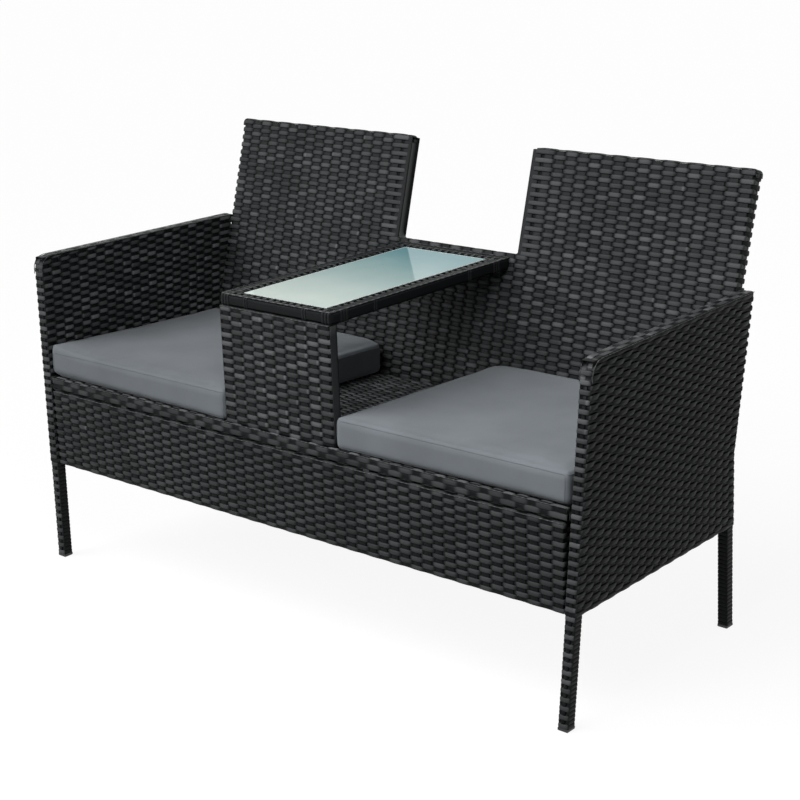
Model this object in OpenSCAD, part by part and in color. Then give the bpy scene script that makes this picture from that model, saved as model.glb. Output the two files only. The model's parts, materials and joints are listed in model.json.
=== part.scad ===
// Two-seat woven garden bench with a glass-topped table between the seats.
// Millimetres. +Z is up, +Y points to the back, the origin is on the floor
// under the middle of the bench.

/* [Overall] */
// Width across the outer faces of the side panels, at the floor
foot_span = 1290; // [1150:1:1500]
// Width across the front ends of the arms
arm_front_span = 1344; // [1300:1:1560]
// Width across the rear ends of the arms
arm_rear_span = 1310; // [1270:1:1520]
// Depth from the front feet to the rear edge of the backrests
overall_d = 616; // [580:1:680]
// Height of the backrests
back_h = 826; // [760:1:900]
// Height of the arms
arm_h = 624; // [600:1:680]
// Height of the seat's front edge, without cushions
seat_h = 381; // [360:1:410]
// Height of the lower edge of the side panels and the apron
skirt_h = 202; // [170:1:240]

/* [Tube and weave] */
// Side of the square tube in the sides, seat and table
tube = 18; // [15:0.5:20]
// Wall of every tube
tube_wall = 1; // [0.8:0.1:2]
// Side of the square tube in the back
back_tube = 20; // [16:0.5:24]
// Side of the square tube in the apron and the table's front panel
panel_tube = 15; // [12:0.5:17]
// Thickness of a woven layer, two crossing strands
weave_t = 2.2; // [1.6:0.1:3]
// Thickness of the single strand wound round a leg
wrap_t = 1.1; // [0.8:0.1:1.5]
// Clearance between a woven sleeve and the tube in it
fit = 0.3; // [0.2:0.05:0.5]
// Clearance between the strand wound round a leg and the tube in it
wrap_fit = 0.03; // [0.02:0.01:0.1]
// Clearance of a foot cap's plug, a bolt's head and other pieces that bear on a tube
seat_fit = 0.1; // [0.05:0.05:0.2]

/* [Side frames] */
// How far the top of the front leg leans back
front_lean = 32; // [10:1:50]
// How far the top of the backrests stands behind the rear feet
back_overhang = 94; // [60:1:130]
// Height of the bend in the rear leg
knee_h = 340; // [300:1:380]
// How far the rear leg comes forward from the foot to the bend
knee_in = 23; // [10:1:35]
// How far the rear leg goes back from the bend to the arm
knee_out = 27; // [15:1:40]
// Radius of the arm's front corner
arm_round = 25; // [10:1:40]
// Height of a foot cap
cap_h = 6; // [4:0.5:12]
// Depth of the foot cap's plug in the tube
cap_plug = 12; // [8:1:20]
// Chamfer round the bottom of a foot cap
cap_chamfer = 1.5; // [0.5:0.1:2.5]

/* [Seat] */
// Fall of the seat towards the back, in degrees
seat_slope = 1.9; // [0:0.1:4]
// Distance of the seat's front edge behind the front feet
seat_setback = 19; // [16:1:30]
// Gap between the seat or back and the side panels
side_gap = 6; // [3:0.5:10]
// Number of bars under the seat, front to back
bar_count = 3; // [2:1:5]

/* [Apron] */
// Distance of the apron's face behind the front feet
apron_setback = 15; // [12:1:24]
// Gap between the apron and the seat rail above it
apron_gap = 2.6; // [1:0.1:6]
// Length of the steel links that hang the apron from the seat rail
link_l = 14; // [8:1:30]
// Number of the links
link_count = 5; // [2:1:9]

/* [Back] */
// Recline of the back, in degrees
recline = 15.7; // [10:0.1:20]
// Height of the back's lower edge
back_low = 300; // [280:1:320]
// Width of the gap between the backrests
notch_w = 306; // [285:1:360]
// Rise of the back between the backrests above the table's rim
notch_rise = 7; // [4:1:40]
// Radius of the backrests' top corners
back_round = 14; // [6:1:30]
// Radius in the corners of the gap between the backrests
notch_round = 18; // [6:1:40]

/* [Table] */
// Width of the table
table_w = 268; // [240:1:280]
// Height of the table's rim
table_h = 624; // [590:1:626]
// Distance of the table's front edge behind the front feet
table_setback = 28; // [22:1:60]
// Width of the woven rim along the sides
rim_side = 32; // [28:1:40]
// Width of the woven rim at the front
rim_front = 23; // [22.8:0.1:40]
// Width of the woven rim at the rear, measured on its underside
rim_rear = 26; // [24:1:40]
// Distance of the front panel's face behind the front feet
panel_setback = 23; // [20:1:50]
// Thickness of the glass
glass_t = 5; // [4:0.5:6]
// Depth of the glass below the rim
glass_drop = 1.5; // [0:0.1:3]
// Gap round the glass
glass_gap = 1; // [0.5:0.1:3]
// Thickness of the pads under the glass
pad_t = 1.6; // [1:0.1:2.5]
// Radius of the pads
pad_r = 5; // [3:0.5:6]
// Thickness of the tabs that carry the glass
tab_t = 3; // [2:0.5:4]
// Width of the tabs
tab_w = 20; // [14:1:30]

/* [Cushions] */
// Gap between a cushion and the side panel where they are closest
cushion_side_gap = 7.6; // [4:0.1:30]
// Gap between a cushion and the back at the height of the seat
cushion_back_gap = 5.4; // [2:0.1:40]
// Height of a cushion at its seams
cushion_t = 55; // [40:1:70]
// Rise of the top in the middle of a cushion
crown = 7; // [3:1:16]
// How far a cushion's sides are drawn in between its corners
draw_in = 4; // [1:0.5:8]
// Radius of a cushion's corners
cushion_round = 17; // [12:1:35]
// How far a cushion's rear side leans back at the top
cushion_lean = 7; // [0:0.5:8]
// Gap between a cushion and the table's panel
cushion_gap = 4; // [2:0.5:8]
// Distance of a cushion's front behind the seat's edge
cushion_setback = 3; // [1:1:6]
// Thickness of the cover and its wadding at the sides
cover_t = 14; // [12:1:20]
// Length of the zip
zip_l = 380; // [300:1:400]
// Height of the zip's tape
zip_w = 14; // [10:1:18]

/* [Fasteners] */
// Radius of a bolt's shank
bolt_r = 3; // [2.5:0.5:3]
// Clearance round a bolt
bolt_fit = 0.4; // [0.2:0.1:0.6]
// Radius of a bolt's head
head_r = 5.2; // [4.5:0.1:6]
// Height of a bolt's head
head_h = 3.2; // [2:0.1:4]
// Radius of the blind nut's sleeve
nut_r = 4.5; // [4.2:0.1:5]
// Length of a blind nut
nut_l = 11; // [8:1:13]
// Radius of the spacers between the seat or back and the side panels
spacer_r = 9; // [7.5:0.5:9]
// Distance of the front seat bolts behind the front feet
seat_bolt_front = 108; // [60:1:160]
// Distance of the rear seat bolts in front of the rear feet
seat_bolt_rear = 134; // [112:1:200]
// Height of the lower bolts in the back
back_bolt_low = 402; // [396:1:420]
// Height of the upper bolts in the back
back_bolt_high = 480; // [450:1:500]

/* [Hidden] */

steel = "#2b2c2e";
wicker = "#33363a";
plastic = "#161718";
zinc = "#8d9195";
fabric = "#72777c";
foam = "#d8d4c4";
eps = 1;
// Lap of a tube's end in the wall that it is welded to
lap = 0.5;
$fn = 48;

// Thickness of a woven panel round a tube of the sides, the seat and the table
side_t = tube + 2 * weave_t;
back_t = back_tube + 2 * weave_t;
panel_t = panel_tube + 2 * weave_t;

// Places along Y, and the side frame's outline seen from the side
front_y = -overall_d / 2;
rear_foot_y = overall_d / 2 - back_overhang;
knee_y = rear_foot_y - knee_in;
arm_front_y = front_y + front_lean;
arm_rear_y = knee_y + knee_out;
function leg_front(z) = front_y + front_lean * z / arm_h;
function leg_back(z) = z < knee_h
    ? rear_foot_y - knee_in * z / knee_h
    : knee_y + knee_out * (z - knee_h) / (arm_h - knee_h);

// The side's outer face: it leans outward, more at the front than at the rear
function side_x(y, z) = foot_span / 2 + z / arm_h * (
    (arm_front_span - foot_span) / 2
    + (arm_rear_span - arm_front_span) / 2 * (y - arm_front_y) / (arm_rear_y - arm_front_y));
function side_inner_x(y, z) = side_x(y, z) - side_t;

// The back's front face, and a point on it at height z
back_top_y = overall_d / 2 - back_t * cos(recline);
function back_y(z) = back_top_y - (back_h - z) * tan(recline);
back_l = (back_h - back_low) / cos(recline);

// The seat in its own plane: y from its front edge, z down from its top
seat_y = front_y + seat_setback;
seat_l = (back_y(seat_h) - fit - seat_y + side_t * sin(seat_slope)
    - side_t * cos(seat_slope) * tan(recline)) / (cos(seat_slope) + sin(seat_slope) * tan(recline));
seat_rear_y = seat_y + seat_l * cos(seat_slope);
function seat_z(y) = seat_h - (y - seat_y) * tan(seat_slope);
seat_front_half = side_inner_x(seat_y, seat_h - side_t) - side_gap;
seat_rear_half = side_inner_x(seat_rear_y, seat_z(seat_rear_y) - side_t) - side_gap;
function seat_half(v) = seat_front_half + (seat_rear_half - seat_front_half) * v / seat_l;
function seat_half_at(y) = seat_half((y - seat_y) / cos(seat_slope));
back_half = seat_rear_half;

notch_h = table_h + notch_rise;

apron_y = front_y + apron_setback;
apron_top = seat_z(apron_y + panel_t) - side_t - apron_gap;
apron_half = side_inner_x(apron_y, skirt_h) - side_gap / 2;

table_y = front_y + table_setback;
table_low = table_h - side_t;
table_rear_y = back_y(table_low) - fit;
glass_rear_y = table_rear_y - rim_rear - glass_gap;
glass_front_y = table_y + rim_front + glass_gap;
glass_half = table_w / 2 - rim_side - glass_gap;
glass_low = table_h - glass_drop - glass_t;
panel_y = front_y + panel_setback;

// A slab between two faces that follow the side's lean. grid is a list of rows of [y, z] points,
// x0 and x1 are the depths of its outer and inner faces behind the side's outer face.
module side_slab(grid, x0, x1) {
    rows = len(grid);
    cols = len(grid[0]);
    layer = rows * cols;
    points = [
        for (depth = [x0, x1]) for (row = grid) for (p = row) [side_x(p[0], p[1]) - depth, p[0], p[1]]
    ];
    function at(k, i, j) = k * layer + i * cols + j;
    function quad(a, b, c, d) = [[a, b, c], [a, c, d]];
    faces = [
        for (i = [0:rows - 2]) for (j = [0:cols - 2]) for (f = concat(
            quad(at(0, i, j), at(0, i + 1, j), at(0, i + 1, j + 1), at(0, i, j + 1)),
            quad(at(1, i, j), at(1, i, j + 1), at(1, i + 1, j + 1), at(1, i + 1, j)))) f,
        for (j = [0:cols - 2]) for (f = concat(
            quad(at(0, 0, j), at(0, 0, j + 1), at(1, 0, j + 1), at(1, 0, j)),
            quad(at(0, rows - 1, j), at(1, rows - 1, j), at(1, rows - 1, j + 1), at(0, rows - 1, j + 1)))) f,
        for (i = [0:rows - 2]) for (f = concat(
            quad(at(0, i, 0), at(1, i, 0), at(1, i + 1, 0), at(0, i + 1, 0)),
            quad(at(0, i, cols - 1), at(0, i + 1, cols - 1), at(1, i + 1, cols - 1), at(1, i, cols - 1)))) f
    ];
    polyhedron(points, faces);
}

// Rows of grid points across the side from y = row[1] to y = row[2] at z = row[0]
function across(rows, steps) = [
    for (row = rows) [for (j = [0:steps]) [row[1] + (row[2] - row[1]) * j / steps, row[0]]]
];

// Heights from z0 to z1, with the bend of the rear leg among them
function leg_levels(z0, z1) = concat(
    [for (i = [0:3]) z0 + (knee_h - z0) * i / 4],
    [for (i = [0:4]) knee_h + (z1 - knee_h) * i / 4]);

// The arm's rounded front corner, k inside the outline
corner_z = arm_h - arm_round;
corner_y = leg_front(corner_z) + arm_round;
function corner_rows(k) = [
    for (a = [15:15:90]) [
        corner_z + (arm_round - k) * sin(a),
        corner_y - (arm_round - k) * cos(a),
        leg_back(corner_z + (arm_round - k) * sin(a)) - k
    ]
];

// The outline of the side from z0 up to the arm, k inside its edges
function outline_rows(z0, k) = concat(
    [for (z = leg_levels(z0, corner_z)) [z, leg_front(z) + k, leg_back(z) - k]],
    corner_rows(k));

arm_low = arm_h - weave_t - tube;
function arm_front(z, k) = z > corner_z
    ? corner_y - sqrt(max(0, pow(arm_round - k, 2) - pow(z - corner_z, 2)))
    : leg_front(z) + k;

module hollow_slab(rows, inner_rows, steps, depth, size) {
    difference() {
        side_slab(across(rows, steps), depth, depth + size);
        side_slab(across(inner_rows, steps), depth + tube_wall, depth + size - tube_wall);
    }
}

// The legs: k is the depth of the leg's surface inside the side's outline
function front_leg_rows(z0, z1, k, size) = [
    for (z = leg_levels(z0, z1)) [z, arm_front(z, k), leg_front(z) + k + size]
];
function rear_leg_rows(z0, z1, k, size) = [
    for (z = leg_levels(z0, z1)) [z, leg_back(z) - k - size, leg_back(z) - k]
];
function foot_rows(heights, k, size, front) = [
    for (z = heights) front
        ? [z, leg_front(z) + k, leg_front(z) + k + size]
        : [z, leg_back(z) - k - size, leg_back(z) - k]
];

module bolt_hole(y, z, x0, x1, r) {
    translate([x0, y, z]) rotate([0, 90, 0]) cylinder(r = r, h = x1 - x0);
}

// Centres of the bolts that join the seat to the side rail, and the back to the rear leg
function rail_z(y) = seat_z(y) - side_t / 2 / cos(seat_slope);
seat_bolt_ys = [front_y + seat_bolt_front, rear_foot_y - seat_bolt_rear];
back_bolt_zs = [back_bolt_low, back_bolt_high];
function back_bolt_y(z) = (
    max(leg_back(z) - weave_t - tube, back_y(z) + weave_t / cos(recline))
    + min(leg_back(z) - weave_t, back_y(z) + (weave_t + back_tube) / cos(recline))) / 2;
side_bolts = concat(
    [for (y = seat_bolt_ys) [y, rail_z(y)]],
    [for (z = back_bolt_zs) [back_bolt_y(z), z]]);

module front_leg() {
    hollow_slab(
        front_leg_rows(cap_h, arm_low, weave_t, tube),
        front_leg_rows(cap_h - eps, arm_low + eps, weave_t + tube_wall, tube - 2 * tube_wall),
        1, weave_t, tube);
}

module rear_leg() {
    difference() {
        hollow_slab(
            rear_leg_rows(cap_h, arm_low, weave_t, tube),
            rear_leg_rows(cap_h - eps, arm_low + eps, weave_t + tube_wall, tube - 2 * tube_wall),
            1, weave_t, tube);
        for (z = back_bolt_zs) nut_hole(back_bolt_y(z), z);
    }
}

// The hole for a blind nut, in a tube's inner wall
module nut_hole(y, z) {
    x = side_x(y, z) - weave_t - tube;
    bolt_hole(y, z, x - eps, x + tube / 2, nut_r + bolt_fit / 2);
}

module arm_tube() {
    difference() {
        side_slab(across(arm_rows(weave_t, 0), 6), weave_t, weave_t + tube);
        side_slab(across(arm_rows(weave_t + tube_wall, tube_wall + eps), 6),
            weave_t + tube_wall, weave_t + tube - tube_wall);
    }
}

// The arm tube's rows: k inside the outline, its rear end moved back by over
function arm_rows(k, over) = concat(
    [let (z = arm_low + k - weave_t) [z, arm_front(z, k), leg_back(z) - k + over]],
    [for (row = corner_rows(k)) if (row[0] > arm_low + k - weave_t) [row[0], row[1], row[2] + over]]);

// A rail between the legs, k inside its faces, falling to the rear with the given slope
function rail_rows(z0, z1, slope, k, over) = [
    for (z = [z0 + k, z1 - k]) [
        for (j = [0:6]) let (
            ya = leg_front(z) + weave_t + tube - over,
            yb = leg_back(z - (knee_y - seat_y) * slope) - weave_t - tube + over,
            y = ya + (yb - ya) * j / 6)
            [y, z - (y - seat_y) * slope]
    ]
];

module rail(z0, slope) {
    z1 = z0 + tube;
    difference() {
        side_slab(rail_rows(z0, z1, slope, 0, 0), weave_t, weave_t + tube);
        side_slab(rail_rows(z0, z1, slope, tube_wall, eps),
            weave_t + tube_wall, weave_t + tube - tube_wall);
    }
}

module lower_rail() {
    rail(skirt_h + weave_t, 0);
}

module side_rail() {
    difference() {
        rail(seat_h - side_t / 2 - tube / 2, tan(seat_slope));
        for (y = seat_bolt_ys) nut_hole(y, rail_z(y));
    }
}

module side_skin() {
    gap = weave_t - fit;
    difference() {
        side_slab(across(outline_rows(skirt_h, 0), 6), 0, side_t);
        side_slab(across(outline_rows(skirt_h + weave_t, gap), 6), gap, side_t - gap);
        side_slab(across(foot_rows([skirt_h - eps, skirt_h + tube], gap, tube + 2 * fit, true), 1),
            gap, side_t - gap);
        side_slab(across(foot_rows([skirt_h - eps, skirt_h + tube], gap, tube + 2 * fit, false), 1),
            gap, side_t - gap);
        for (b = side_bolts) let (x = side_inner_x(b[0], b[1]))
            bolt_hole(b[0], b[1], x - eps, x + weave_t + eps, flange_r + 2 * bolt_fit);
    }
}

module leg_wraps() {
    k = weave_t - wrap_t;
    size = tube + 2 * wrap_t;
    inner_k = weave_t - wrap_fit;
    inner = tube + 2 * wrap_fit;
    top = skirt_h - fit;
    levels = [cap_h, (cap_h + top) / 2, top];
    inner_levels = [cap_h - eps, (cap_h + top) / 2, top + eps];
    for (front = [true, false]) difference() {
        side_slab(across(foot_rows(levels, k, size, front), 1), k, k + size);
        side_slab(across(foot_rows(inner_levels, inner_k, inner, front), 1), inner_k, inner_k + inner);
    }
}

// A foot cap: a chamfered shoe as wide as the wound leg, and a plug in the tube
module foot_cap(front) {
    k = weave_t - wrap_t;
    size = tube + 2 * wrap_t;
    plug_k = weave_t + tube_wall + seat_fit;
    plug_size = tube - 2 * tube_wall - 2 * seat_fit;
    c = cap_chamfer;
    side_slab(across(foot_rows([c, cap_h], k, size, front), 1), k, k + size);
    y = front ? leg_front(0) + k : leg_back(0) - k - size;
    x = side_x(y, 0) - k;
    translate([x - size / 2, y + size / 2, 0]) hull() {
        foot_layer(size - 2 * c, 0);
        foot_layer(size - 2 * layer_t, c - layer_t);
    }
    side_slab(across(foot_rows([cap_h - eps, cap_h + cap_plug], plug_k, plug_size, front), 1),
        plug_k, plug_k + plug_size);
}

// A thin square layer of a foot cap's sole
layer_t = 0.1;
module foot_layer(w, z) {
    translate([-w / 2, -w / 2, z]) cube([w, w, layer_t]);
}

module foot_caps() {
    both_sides() for (front = [true, false]) foot_cap(front);
}

module both_sides() {
    children();
    mirror([1, 0, 0]) children();
}

module in_seat() {
    translate([0, seat_y, seat_h]) rotate([-seat_slope, 0, 0]) children();
}

// The seat's outline, k inside its edges, from v0 to v1 along its depth
module seat_plan(k, v0, v1) {
    polygon([
        [-seat_half(v0) + k, v0], [seat_half(v0) - k, v0],
        [seat_half(v1) - k, v1], [-seat_half(v1) + k, v1]
    ]);
}

module seat_layer(z0, z1, k, v0, v1) {
    translate([0, 0, z0]) linear_extrude(z1 - z0) seat_plan(k, v0, v1);
}

module seat_bolt_holes(r) {
    both_sides() for (y = seat_bolt_ys)
        bolt_hole(y, rail_z(y), min(seat_rear_half, seat_front_half) - 2 * tube,
            max(seat_rear_half, seat_front_half) + eps, r);
}

tube_top = -weave_t;
tube_low = -weave_t - tube;

module seat_front_tube() {
    k = weave_t + tube;
    difference() {
        in_seat() difference() {
            seat_layer(tube_low, tube_top, k, weave_t, k);
            seat_layer(tube_low + tube_wall, tube_top - tube_wall, k - eps,
                weave_t + tube_wall, k - tube_wall);
        }
        panel_bolt_holes(bolt_r + bolt_fit);
    }
}

module seat_rear_tube() {
    k = weave_t + tube;
    in_seat() difference() {
        seat_layer(tube_low, tube_top, k, seat_l - k, seat_l - weave_t);
        seat_layer(tube_low + tube_wall, tube_top - tube_wall, k - eps,
            seat_l - k + tube_wall, seat_l - weave_t - tube_wall);
    }
}

// One side tube of the seat in plan, w inside its faces, its ends moved out by over
module seat_side_plan(w, over) {
    v0 = weave_t - over;
    v1 = seat_l - weave_t + over;
    polygon([
        [seat_half(v0) - weave_t - tube + w, v0], [seat_half(v0) - weave_t - w, v0],
        [seat_half(v1) - weave_t - w, v1], [seat_half(v1) - weave_t - tube + w, v1]
    ]);
}

module seat_side_tubes() {
    difference() {
        in_seat() both_sides() difference() {
            translate([0, 0, tube_low]) linear_extrude(tube) seat_side_plan(0, 0);
            translate([0, 0, tube_low + tube_wall]) linear_extrude(tube - 2 * tube_wall)
                seat_side_plan(tube_wall, eps);
        }
        seat_bolt_holes(bolt_r + bolt_fit);
    }
}

module seat_cross_bars() {
    v0 = weave_t + tube;
    v1 = seat_l - weave_t - tube;
    pitch = 2 * seat_rear_half / (bar_count + 1);
    in_seat() for (i = [1:bar_count]) translate([i * pitch - seat_rear_half - tube / 2, 0, 0]) difference() {
        translate([0, v0, tube_low]) cube([tube, v1 - v0, tube]);
        translate([tube_wall, v0 - eps, tube_low + tube_wall])
            cube([tube - 2 * tube_wall, v1 - v0 + 2 * eps, tube - 2 * tube_wall]);
    }
}

// The seat's woven top, closed round its four edge tubes and open under the bars
module seat_skin() {
    difference() {
        in_seat() difference() {
            seat_layer(-side_t, 0, 0, 0, seat_l);
            seat_layer(tube_low, tube_top, weave_t, weave_t, seat_l - weave_t);
            seat_layer(-side_t - eps, tube_low + eps, side_t, side_t, seat_l - side_t);
        }
        seat_bolt_holes(bolt_r + bolt_fit);
        panel_bolt_holes(bolt_r + bolt_fit);
        panel_head_holes();
        link_slots(fit);
    }
}

// The apron's links, grown by g, lie link_inset inside the faces of the apron's tube
link_inset = 2;
link_w = panel_tube - 2 * link_inset;
module link_slots(g) {
    z0 = apron_top - weave_t;
    pitch = 2 * apron_half / (link_count + 1);
    for (i = [1:link_count])
        translate([i * pitch - apron_half - link_l / 2 - g, apron_y + weave_t + link_inset - g, z0])
            cube([link_l + 2 * g, link_w + 2 * g, seat_z(apron_y) - side_t + weave_t - z0]);
}

module apron_links() {
    difference() {
        link_slots(0);
        in_seat() seat_layer(tube_low, tube_top, weave_t, 0, 2 * side_t);
    }
}

module apron_frame() {
    w = apron_half - weave_t;
    z0 = skirt_h + weave_t;
    z1 = apron_top - weave_t;
    y = apron_y + weave_t;
    for (z = [z0, z1 - panel_tube]) x_tube(-w, w, y, z, panel_tube);
    for (x = [-w, w - panel_tube]) z_tube(x, y, z0 + panel_tube - lap, z1 - panel_tube + lap, panel_tube);
}

module x_tube(x0, x1, y, z, size) {
    translate([x0, y, z]) difference() {
        cube([x1 - x0, size, size]);
        translate([-eps, tube_wall, tube_wall])
            cube([x1 - x0 + 2 * eps, size - 2 * tube_wall, size - 2 * tube_wall]);
    }
}

module z_tube(x, y, z0, z1, size) {
    translate([x, y, z0]) difference() {
        cube([size, size, z1 - z0]);
        translate([tube_wall, tube_wall, -eps])
            cube([size - 2 * tube_wall, size - 2 * tube_wall, z1 - z0 + 2 * eps]);
    }
}

module apron_skin() {
    difference() {
        translate([-apron_half, apron_y, skirt_h])
            cube([2 * apron_half, panel_t, apron_top - skirt_h]);
        translate([-apron_half - eps, apron_y + weave_t, skirt_h + weave_t])
            cube([2 * apron_half + 2 * eps, panel_tube, apron_top - skirt_h - 2 * weave_t]);
        link_slots(fit);
    }
}

module in_back() {
    translate([0, back_y(back_low), back_low]) rotate([-recline, 0, 0]) children();
}

// Height along the back of a point at height z
function along_back(z) = (z - back_low) / cos(recline);

module round_top(x0, x1, v0, v1, r) {
    translate([x0, v0]) square([x1 - x0, v1 - r - v0]);
    translate([x0 + r, v0]) square([x1 - x0 - 2 * r, v1 - v0]);
    translate([x0 + r, v1 - r]) circle(r);
    translate([x1 - r, v1 - r]) circle(r);
}

// The back seen square on, k inside its edges
module back_outline(k) {
    floor_v = along_back(notch_h) - k;
    r = notch_round + k;
    for (s = [-1, 1]) mirror([s < 0 ? 1 : 0, 0, 0]) {
        round_top(notch_w / 2 + k, back_half - k, k, back_l - k, back_round - min(k, back_round / 2));
        difference() {
            translate([notch_w / 2 + k - r, floor_v - eps]) square([r + eps, r + eps]);
            translate([notch_w / 2 + k - r, floor_v + r]) circle(r);
        }
    }
    translate([-notch_w / 2 - k - eps, k]) square([notch_w + 2 * k + 2 * eps, floor_v - k]);
}

module back_plate(k, n0, n1) {
    translate([0, n1, 0]) rotate([90, 0, 0]) linear_extrude(n1 - n0) back_outline(k);
}

module back_bolt_holes(r) {
    both_sides() for (z = back_bolt_zs)
        bolt_hole(back_bolt_y(z), z, back_half - 2 * back_tube, back_half + eps, r);
}

// Uprights and cross tubes inside the ring that follows the back's edges
module back_inner_bars() {
    low = along_back(seat_h);
    ring = weave_t + back_tube;
    x = notch_w / 2 + weave_t;
    y = weave_t;
    for (s = [0, 1]) mirror([s, 0, 0]) {
        z_tube(x, y, ring - lap, along_back(notch_h) - ring + lap, back_tube);
        x_tube(x + back_tube - lap, back_half - ring + lap, y, low, back_tube);
    }
    x_tube(-x - lap, x + lap, y, low, back_tube);
}

module back_frame() {
    k = weave_t;
    difference() {
        in_back() union() {
            difference() {
                back_plate(k, weave_t, weave_t + back_tube);
                back_plate(k + back_tube, 0, back_t);
                back_ring_bore();
            }
            back_inner_bars();
        }
        back_bolt_holes(bolt_r + bolt_fit);
        table_bolt_holes(nut_r + bolt_fit / 2);
    }
}

// The bore of the ring of tube that follows the back's edges
module back_ring_bore() {
    k = weave_t + tube_wall;
    difference() {
        back_plate(k, weave_t + tube_wall, weave_t + back_tube - tube_wall);
        back_plate(k + back_tube - 2 * tube_wall, 0, back_t);
    }
}

module back_skin() {
    difference() {
        in_back() difference() {
            back_plate(0, 0, back_t);
            back_plate(weave_t, weave_t, weave_t + back_tube);
        }
        back_bolt_holes(bolt_r + bolt_fit);
        table_bolt_holes(bolt_r + bolt_fit);
    }
}

// The table's front panel
panel_low = seat_h;

module table_panel_frame() {
    x = table_w / 2 - weave_t;
    y = panel_y + weave_t;
    difference() {
        union() {
            for (z = [panel_low, table_low - panel_tube]) x_tube(-x, x, y, z, panel_tube);
            for (s = [-x, x - panel_tube])
                z_tube(s, y, panel_low + panel_tube - lap, table_low - panel_tube + lap, panel_tube);
        }
        panel_bolt_holes(bolt_r + bolt_fit);
    }
}

module table_panel_skin() {
    x = table_w / 2;
    difference() {
        translate([-x, panel_y, panel_low]) cube([2 * x, panel_t, table_low - panel_low]);
        translate([-x + weave_t, panel_y + weave_t, panel_low - eps])
            cube([2 * (x - weave_t), panel_tube, table_low - panel_low + 2 * eps]);
    }
}

// Bolts up through the seat's front tube into the table's front panel
panel_bolt_x = table_w / 4;
panel_bolt_y = panel_y + panel_t / 2;
panel_bolt_z = seat_z(panel_bolt_y + head_r) - (weave_t + tube) / cos(seat_slope) - seat_fit;

module panel_bolt_holes(r) {
    both_sides() translate([panel_bolt_x, panel_bolt_y, seat_h - 2 * side_t])
        cylinder(r = r, h = 2 * side_t + panel_tube / 2);
}

// The holes that let the bolts' heads through the weave under the seat's front tube
module panel_head_holes() {
    both_sides() translate([panel_bolt_x, panel_bolt_y, seat_h - 2 * side_t])
        cylinder(r = head_r + bolt_fit, h = panel_bolt_z + eps - seat_h + 2 * side_t);
}

module panel_bolts() {
    both_sides() translate([panel_bolt_x, panel_bolt_y, panel_bolt_z])
        bolt(seat_h + panel_tube / 2 - panel_bolt_z - bolt_fit);
}

// A bolt along +Z with its head below z = 0, and the hexagon socket in the head
socket_r = 2;
module bolt(l) {
    cylinder(r = bolt_r, h = l);
    difference() {
        translate([0, 0, -head_h]) cylinder(r = head_r, h = head_h);
        translate([0, 0, -head_h - eps]) cylinder(r = socket_r, h = head_h / 2 + eps, $fn = 6);
    }
}

// A block that fills the back and all behind it, gap in front of its face
module behind_back(gap) {
    in_back() translate([-back_half, -gap, -back_l / 2]) cube([2 * back_half, 4 * back_t, 2 * back_l]);
}

module table_block(k, z0, z1, rear) {
    translate([-table_w / 2 + k, table_y + k, z0])
        cube([table_w - 2 * k, rear - k - table_y - k, z1 - z0]);
}

module rim_opening(k, z0, z1) {
    translate([-glass_half - glass_gap - k, glass_front_y - glass_gap - k, z0])
        cube([2 * (glass_half + glass_gap + k), glass_rear_y - glass_front_y + 2 * (glass_gap + k), z1 - z0]);
}

module table_rim() {
    difference() {
        table_block(0, table_low, table_h, back_y(table_h) + eps);
        rim_opening(0, table_low - eps, table_h + eps);
        difference() {
            table_block(weave_t, table_low + weave_t, table_h - weave_t, table_rear_y);
            rim_opening(weave_t, table_low - eps, table_h + eps);
        }
        behind_back(fit);
        tab_blocks(fit);
        table_bolt_holes(bolt_r + bolt_fit);
        table_bolt_hole(head_r + bolt_fit, glass_rear_y, table_bolt_y - glass_rear_y);
    }
}

module table_frame() {
    x = table_w / 2 - weave_t;
    y0 = table_y + weave_t;
    y1 = table_rear_y - weave_t;
    z = table_low + weave_t;
    difference() {
        union() {
            for (y = [y0, y1 - tube]) x_tube(-x, x, y, z, tube);
            for (s = [-x, x - tube]) y_tube(s, y0 + tube - lap, y1 - tube + lap, z, tube);
        }
        table_bolt_holes(bolt_r + bolt_fit);
    }
}

module y_tube(x, y0, y1, z, size) {
    translate([x, y0, z]) difference() {
        cube([size, y1 - y0, size]);
        translate([tube_wall, -eps, tube_wall])
            cube([size - 2 * tube_wall, y1 - y0 + 2 * eps, size - 2 * tube_wall]);
    }
}

// The tabs reach from the side tubes through the rim to under the glass
tab_reach = 16;
tab_inset = 60;
tab_z = glass_low - pad_t - tab_t;
tab_ys = [glass_front_y + tab_inset, (glass_front_y + glass_rear_y) / 2, glass_rear_y - tab_inset];

module tab_blocks(g) {
    x0 = glass_half - tab_reach;
    x1 = table_w / 2 - weave_t - tube;
    both_sides() for (y = tab_ys) translate([x0 - g, y - tab_w / 2 - g, tab_z - g])
        cube([x1 - x0 + g, tab_w + 2 * g, tab_t + 2 * g]);
}

module glass_tabs() {
    tab_blocks(0);
}

module glass_pads() {
    both_sides() for (y = tab_ys) translate([glass_half - tab_reach / 2, y, tab_z + tab_t])
        cylinder(r = pad_r, h = pad_t);
}

module table_glass() {
    translate([-glass_half, glass_front_y, glass_low])
        cube([2 * glass_half, glass_rear_y - glass_front_y, glass_t]);
}

// Bolts back through the table's rear tube into the back, their heads in the rim's hollow
table_bolt_x = table_w / 3;
table_bolt_z = table_low + side_t / 2;
table_bolt_y = table_rear_y - weave_t - tube - seat_fit;
table_bolt_l = weave_t + tube + back_t * 0.7;

module table_bolt_hole(r, y, l) {
    both_sides() translate([table_bolt_x, y, table_bolt_z]) rotate([-90, 0, 0]) cylinder(r = r, h = l);
}

module table_bolt_holes(r) {
    table_bolt_hole(r, table_bolt_y - eps, table_bolt_l + 3 * eps);
}

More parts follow.
